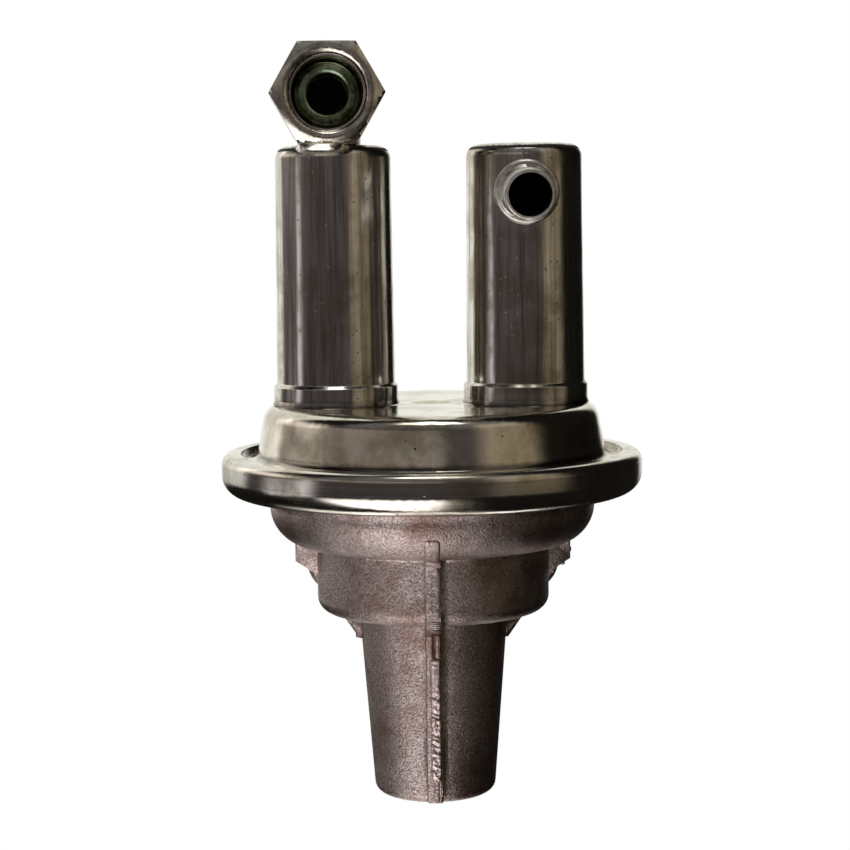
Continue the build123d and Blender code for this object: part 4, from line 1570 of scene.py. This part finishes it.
    def build_ridge(self, ridge: Ridge) -> None:
        """Lays a ridge along its path, with blunt ends."""
        points = even_path(ridge.path, self.ridge_step)
        last = len(points) - 1
        work = bmesh.new()
        rows = []
        for i, point in enumerate(points):
            way = (points[min(i + 1, last)] - points[max(i - 1, 0)]).normalized()
            out = Vector((-way.y, way.x))
            near_end = min(1.0, (min(i, last - i) + 0.5) / self.blunt_rows)
            full = math.sqrt(1 - (1 - near_end) ** 2)
            row = []
            for step in range(self.across_steps + 1):
                across = -math.cos(math.pi * step / self.across_steps)
                wide, tall = ridge.relief(point.y, across)
                bulge = (1 - across**4) ** 0.5
                spot = point + out * (ridge.height * full * bulge * tall - self.ridge_sunk)
                reach = ridge.half * wide * (0.4 + 0.6 * full) * across
                at = Vector((ridge.side + reach, -spot.x, self.foot + spot.y))
                row.append(work.verts.new(PUMP.axis + at))
            rows.append(row)
        join_rows(work, rows)
        piece = new_object(ridge.name, mesh_from(work, ridge.name, 50.0))
        self.finishes.finish_piece(piece, "housing", ridge.key)

    def build_nubs(self) -> None:
        """Adds the small nubs that trimming left on the gussets' edges."""
        spots = (
            ("gusset_nub_right_top", Vector((26.9, 0.0, 8.3)), 0.6),
            ("gusset_nub_right_mid", Vector((25.7, -0.2, 5.6)), 0.5),
            ("gusset_nub_right_low", Vector((23.6, -0.1, 4.3)), 0.7),
            ("gusset_nub_left_bowl", Vector((-23.3, 0.1, 4.2)), 0.7),
            ("gusset_nub_left_foot", Vector((-15.0, 0.0, -8.5)), 0.6),
        )
        for seed, (name, spot, radius) in enumerate(spots):
            draw = Random(seed)
            work = bmesh.new()
            bmesh.ops.create_icosphere(work, subdivisions=3, radius=radius * MM)
            for vertex in work.verts:
                vertex.co *= 1 + draw.uniform(-0.12, 0.12)
                vertex.co.y *= 1.5
            every_way = {"use_axis_x": True, "use_axis_y": True, "use_axis_z": True}
            bmesh.ops.smooth_vert(work, verts=work.verts, factor=0.5, **every_way)
            mesh = mesh_from(work, name, 60.0)
            mesh.transform(Matrix.Translation(PUMP.axis + spot * MM))
            self.finishes.finish_piece(new_object(name, mesh), "housing", "housing")


@dataclass
class PinEnds(SubAssembly):
    """Metal of the casting staked over the two ends of the pivot pin.

    Attributes:
        pin_radius: Radius of the pin.
        ring_width: Width of the staked ring round it.
        proud: How far the staking stands out of the wall.
        overlap: How far it closes over the pin.
        sunk: How deep it reaches into the wall.
        crown: How far from the pin's edge it stands highest.
    """

    pin_radius: float = 3.0 * MM
    ring_width: float = 0.9 * MM
    proud: float = 0.25 * MM
    overlap: float = 0.35 * MM
    sunk: float = 0.3 * MM
    crown: float = 0.3 * MM

    def build(self) -> None:
        """Dresses the pin and builds a staked ring at each end."""
        self.finishes.dress("pivot_pin", "bare", 35.0)
        low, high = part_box("pivot_pin")
        middle = (low + high) / 2
        for name, side in (("left", -1), ("right", 1)):
            out = Vector((side, 0, 0))
            wall = Vector(((low.x if side < 0 else high.x), middle.y, middle.z))
            turn = out.to_track_quat("Z", "Y").to_matrix().to_4x4()
            outline = rounded(
                [
                    (self.pin_radius - self.overlap, -self.sunk, 0.0),
                    (self.pin_radius + self.ring_width, -self.sunk, 0.0),
                    (self.pin_radius + self.ring_width, 0.02 * MM, 0.0),
                    (self.pin_radius + self.crown, self.proud, 0.12 * MM),
                    (self.pin_radius - self.overlap, self.proud * 0.6, 0.1 * MM),
                ],
                3,
            )
            ring = lathe(f"pin_staking_{name}", outline, 48, Matrix.Translation(wall) @ turn)
            self.finishes.finish_piece(ring, "housing", "housing")


@dataclass(frozen=True)
class Follower:
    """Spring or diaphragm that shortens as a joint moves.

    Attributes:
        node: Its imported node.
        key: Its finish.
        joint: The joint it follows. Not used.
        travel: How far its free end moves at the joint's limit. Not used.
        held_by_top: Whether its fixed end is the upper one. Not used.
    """

    node: str
    key: str
    joint: str
    travel: float
    held_by_top: bool = False


@dataclass
class InnerWorks(SubAssembly):
    """Linkage, diaphragm, springs and valves, mostly hidden.

    Attributes:
        followers: The pieces that shorten as a joint moves.
    """

    followers: tuple[Follower, ...] = (
        Follower("diaphragm", "rubber", "diaphragm_stroke", 4.0 * MM),
        Follower("diaphragm_spring", "wire", "diaphragm_stroke", 3.7 * MM),
        Follower("arm_spring", "wire", "rocker_swing", 3.8 * MM, held_by_top=True),
        Follower("inlet_valve_spring", "wire", "inlet_valve_lift", 1.5 * MM),
        Follower("outlet_valve_spring", "wire", "outlet_valve_lift", 1.5 * MM, held_by_top=True),
    )

    def build(self) -> None:
        """Dresses the arm and the link, paints what stays as packed, and adds the followers."""
        self.finishes.dress("rocker_arm", "forged", 35.0)
        self.finishes.dress("link", "forged", 35.0)
        groups = {
            "bare": ("upper_plate", "lower_plate", "pull_rod", "seal_retainer"),
            "rubber": ("oil_seal",),
        }
        for key, nodes in groups.items():
            for node in nodes:
                paint(node, self.finishes.materials[key])
        for side in ("inlet", "outlet"):
            for piece, key in (("seat", "bare"), ("disc", "rubber"), ("stem", "bare")):
                paint(f"{side}_valve_{piece}", self.finishes.materials[key])
        for follower in self.followers:
            self.build_follower(follower)

    def build_follower(self, follower: Follower) -> None:
        """Stands a smooth copy in for a node, with a mesh of its own."""
        piece = self.finishes.dress(follower.node, follower.key, 50.0)
        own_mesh(piece)


@dataclass(frozen=True)
class Panel:
    """One light or dark zone that bright metal reflects.

    Angles are in degrees. Azimuth 0 is towards the camera and 90 towards +X.

    Attributes:
        azimuth: Direction of its middle, level.
        half_width: Half its width.
        elevation: Height of its middle.
        half_height: Half its height.
        strength: Its brightness, 1 being white paper in full light.
        tint_hex: Its tint.
        softness: Half width of its soft edge.
    """

    azimuth: float
    half_width: float
    elevation: float
    half_height: float
    strength: float
    tint_hex: str = "FFFFFF"
    softness: float = 6.0


@dataclass(frozen=True)
class Studio:
    """White studio: world, pale floor and soft lamps, with a dark room that only metal sees.

    The room is a closed shell, so glossy rays meet it and never the world's white. Its panels are
    placed and dimmed after the photograph's reflections. Without build_room() the metal shows the
    white background, and looks far paler than in the photograph.

    Attributes:
        ambient: Strength of the world's even light on the object.
        room: Brightness of the dark room in reflections.
        room_hex: Tint of the room.
        room_radius: Distance of the reflected room.
        floor_drop: Distance of the floor under the pump's mount.
        floor_hex: Colour of the floor in the light that it throws back on the pump.
        panels: The lighter zones in the room.
    """

    ambient: float = 0.5
    room: float = 0.01
    room_hex: str = "FFF2E2"
    room_radius: float = 4.0
    floor_drop: float = 0.32
    floor_hex: str = "EDEDED"
    panels: tuple[Panel, ...] = (
        # White backdrop behind and to the left
        Panel(-162, 42, 32, 40, 1.0, "FFFFF8", 5),
        # Dim walls of the room at the height of the pump
        Panel(-44, 88, 12, 19, 0.075, "FFEFF4", 8),
        # Tall narrow strip on the left, and a lower wider one under it
        Panel(-71, 5, -4, 12, 0.62, "FFFAFF", 4),
        Panel(-87, 14, -12.5, 7, 0.66, "FFFAFF", 5),
        # Large soft panel in front, from the left to the middle, a little above
        Panel(-42, 50, 17, 8, 0.22, "FFF5E8", 6),
        Panel(-106, 24, 20, 11, 1.1, "FFF6EC", 11),
        # Warm panel on the right
        Panel(54, 20, 23, 29, 0.29, "FFECC8", 9),
        # Pale upper wall in front, against which the cans' own reflections show dark
        Panel(5, 75, 52, 20, 0.15, "FFFFFF", 10),
        # Ceiling light
        Panel(0, 40, 76, 10, 4.5, "FFFFFF", 4),
        # White table low in front, and beyond the pump
        Panel(-28, 34, -55, 33, 2.6, "FFFAF9", 8),
        Panel(-172, 34, -66, 20, 2.0, "FFFCFA", 7),
    )

    def white_seen(self, tree: bpy.types.NodeTree) -> bpy.types.NodeSocket:
        """1 for camera, glossy and transmission rays, else 0."""
        path = add_node(tree, "ShaderNodeLightPath")
        some = add_node(
            tree,
            "ShaderNodeMath",
            {0: path.outputs["Is Camera Ray"], 1: path.outputs["Is Glossy Ray"]},
            operation="ADD",
        )
        every = add_node(
            tree,
            "ShaderNodeMath",
            {0: some.outputs["Value"], 1: path.outputs["Is Transmission Ray"]},
            operation="ADD",
            use_clamp=True,
        )
        return every.outputs["Value"]

    def build_world(self) -> None:
        """White to the eye, and an even soft light on everything.

        Glossy rays would see white too, but the room's shell stands in front of it.
        """
        world = bpy.data.worlds.new("white_studio")
        world.use_nodes = True
        tree = world.node_tree
        tree.nodes.clear()
        strength = add_node(
            tree,
            "ShaderNodeMapRange",
            {"Value": self.white_seen(tree), "To Min": self.ambient, "To Max": 1.0},
        )
        light = add_node(
            tree,
            "ShaderNodeBackground",
            {"Color": (1, 1, 1, 1), "Strength": strength.outputs["Result"]},
        )
        add_node(tree, "ShaderNodeOutputWorld", {"Surface": light.outputs["Background"]})
        bpy.context.scene.world = world

    def near(
        self,
        tree: bpy.types.NodeTree,
        angle: bpy.types.NodeSocket,
        middle: float,
        half: float,
        softness: float,
    ) -> bpy.types.NodeSocket:
        """1 where an angle lies near a middle, fading to 0 past a half width.

        Args:
            tree: The node tree.
            angle: The angle, in radians.
            middle: Middle of the zone, in degrees.
            half: Half width of the zone, in degrees.
            softness: Half width of its soft edge, in degrees.

        Returns:
            The share's socket.
        """
        turn = math.radians(middle)
        offset = add_node(tree, "ShaderNodeMath", {0: angle, 1: turn}, operation="SUBTRACT")
        wrapped = add_node(tree, "ShaderNodeMath", {0: offset.outputs["Value"]}, operation="COSINE")
        cosine = wrapped.outputs["Value"]
        apart = add_node(tree, "ShaderNodeMath", {0: cosine}, operation="ARCCOSINE")
        share = add_node(
            tree,
            "ShaderNodeMapRange",
            {
                "Value": apart.outputs["Value"],
                "From Min": math.radians(half + softness),
                "From Max": math.radians(half - softness),
            },
            interpolation_type="SMOOTHSTEP",
        )
        return share.outputs["Result"]

    def build_room(self) -> None:
        """A closed dark shell with lighter panels, which only glossy rays see.

        It hides the world's white from them.
        """
        material, tree = new_material("reflected_room")
        place = add_node(tree, "ShaderNodeTexCoord").outputs["Object"]
        way = add_node(tree, "ShaderNodeVectorMath", {0: place}, operation="NORMALIZE")
        parts = add_node(tree, "ShaderNodeSeparateXYZ", {"Vector": way.outputs["Vector"]})
        toward = add_node(
            tree, "ShaderNodeMath", {0: parts.outputs["Y"], 1: -1.0}, operation="MULTIPLY"
        )
        azimuth = add_node(
            tree,
            "ShaderNodeMath",
            {0: parts.outputs["X"], 1: toward.outputs["Value"]},
            operation="ARCTAN2",
        )
        elevation = add_node(tree, "ShaderNodeMath", {0: parts.outputs["Z"]}, operation="ARCSINE")
        base = linear_colour(self.room_hex)
        total = add_node(
            tree,
            "ShaderNodeCombineXYZ",
            {"X": base[0] * self.room, "Y": base[1] * self.room, "Z": base[2] * self.room},
        ).outputs["Vector"]
        for panel in self.panels:
            edge = panel.softness
            across = self.near(
                tree, azimuth.outputs["Value"], panel.azimuth, panel.half_width, edge
            )
            upward = self.near(
                tree, elevation.outputs["Value"], panel.elevation, panel.half_height, edge
            )
            share = add_node(tree, "ShaderNodeMath", {0: across, 1: upward}, operation="MULTIPLY")
            tint = [c * panel.strength for c in linear_colour(panel.tint_hex)[:3]]
            glow = add_node(
                tree,
                "ShaderNodeVectorMath",
                {0: tint, "Scale": share.outputs["Value"]},
                operation="SCALE",
            )
            total = add_node(
                tree, "ShaderNodeVectorMath", {0: total, 1: glow.outputs["Vector"]}, operation="ADD"
            ).outputs["Vector"]
        emit = add_node(tree, "ShaderNodeEmission", {"Color": total, "Strength": 1.0})
        add_node(tree, "ShaderNodeOutputMaterial", {"Surface": emit.outputs["Emission"]})
        work = bmesh.new()
        bmesh.ops.create_icosphere(work, subdivisions=4, radius=self.room_radius)
        bmesh.ops.reverse_faces(work, faces=work.faces)
        mesh = bpy.data.meshes.new("reflected_room")
        work.to_mesh(mesh)
        work.free()
        mesh.materials.append(material)
        mesh.shade_smooth()
        room = new_object("reflected_room", mesh)
        room.visible_camera = False
        room.visible_diffuse = False
        room.visible_transmission = False
        room.visible_shadow = False

    def build_floor(self) -> None:
        """Pale floor, pure white to the camera so that it runs into the backdrop.

        So it shows no shadow of the pump, and glossy rays don't meet it.
        """
        material, tree = new_material("white_floor")
        path = add_node(tree, "ShaderNodeLightPath")
        paper = add_node(tree, "ShaderNodeBsdfDiffuse", {"Color": linear_colour(self.floor_hex)})
        white = add_node(tree, "ShaderNodeEmission", {"Color": (1, 1, 1, 1), "Strength": 1.0})
        both = add_node(
            tree,
            "ShaderNodeMixShader",
            {
                0: path.outputs["Is Camera Ray"],
                1: paper.outputs["BSDF"],
                2: white.outputs["Emission"],
            },
        )
        add_node(tree, "ShaderNodeOutputMaterial", {"Surface": both.outputs["Shader"]})
        work = bmesh.new()
        bmesh.ops.create_grid(work, x_segments=1, y_segments=1, size=self.room_radius / 2)
        mesh = bpy.data.meshes.new("floor")
        work.to_mesh(mesh)
        work.free()
        mesh.materials.append(material)
        mesh.transform(Matrix.Translation((0, 0, -self.floor_drop)))
        floor = new_object("floor", mesh)
        floor.visible_glossy = False

    def build_lamps(self) -> None:
        """Three soft area lamps at a plain level, for the surfaces that scatter light."""
        for name, spot, size, watts in (
            ("key_lamp", (-0.5, -0.9, 0.7), 0.6, 9.0),
            ("fill_lamp", (0.8, -0.6, 0.4), 0.8, 4.0),
            ("back_lamp", (0.2, 0.9, 0.6), 0.8, 6.0),
        ):
            data = bpy.data.lights.new(name, "AREA")
            data.shape = "DISK"
            data.size = size
            data.energy = watts
            lamp = bpy.data.objects.new(name, data)
            bpy.context.scene.collection.objects.link(lamp)
            lamp.location = spot
            aim = PUMP.axis - Vector(spot)
            lamp.rotation_euler = aim.to_track_quat("-Z", "Y").to_euler()
            lamp.visible_glossy = False

    def build(self) -> None:
        """Builds the whole studio."""
        self.build_world()
        self.build_room()
        self.build_floor()
        self.build_lamps()


@dataclass(frozen=True)
class PhotoCamera:
    """Camera at the photograph's place, worked out from the pump's outline in it.

    Attributes:
        distance: Distance from the pump's axis.
        height: Height above the engine mount's bolts.
        pitch_deg: Angle looking down.
        roll_deg: Turn about the line of sight.
        focal_px: Focal length in pixels of the photograph.
        centre_x: Pixel column that the line of sight meets.
        centre_y: Pixel row that the line of sight meets.
        sensor_mm: Sensor width.
    """

    distance: float = 405.2 * MM
    height: float = 72.3 * MM
    pitch_deg: float = 5.05
    roll_deg: float = 0.68
    focal_px: float = 2062.0
    centre_x: float = 431.2
    centre_y: float = 408.8
    sensor_mm: float = 36.0

    def build(self) -> None:
        """Places the camera and makes it the scene's."""
        data = bpy.data.cameras.new("photo_camera")
        data.sensor_width = self.sensor_mm
        data.lens = self.focal_px / IMAGE_WIDTH * self.sensor_mm
        data.shift_x = (IMAGE_WIDTH / 2 - self.centre_x) / IMAGE_WIDTH
        data.shift_y = (self.centre_y - IMAGE_WIDTH / 2) / IMAGE_WIDTH
        data.clip_start = 0.01
        camera = bpy.data.objects.new("photo_camera", data)
        bpy.context.scene.collection.objects.link(camera)
        spot = PUMP.axis + Vector((0, -self.distance, self.height))
        look = Matrix.Rotation(math.radians(90 - self.pitch_deg), 4, "X")
        roll = Matrix.Rotation(math.radians(-self.roll_deg), 4, "Z")
        camera.matrix_world = Matrix.Translation(spot) @ look @ roll
        bpy.context.scene.camera = camera


def main() -> None:
    """Builds the pump's looks, the studio and the camera, in order."""
    logging.basicConfig(level=logging.INFO, format="%(name)s: %(message)s")
    bpy.context.scene.view_settings.view_transform = "Standard"
    PhotoCamera().build()
    finishes = Finishes.make()
    for assembly in (PlatedWorks, Port, BrazedJoints, Casting, PinEnds, InnerWorks):
        assembly(finishes).build()
    Studio().build()


if __name__ == "__main__":
    main()
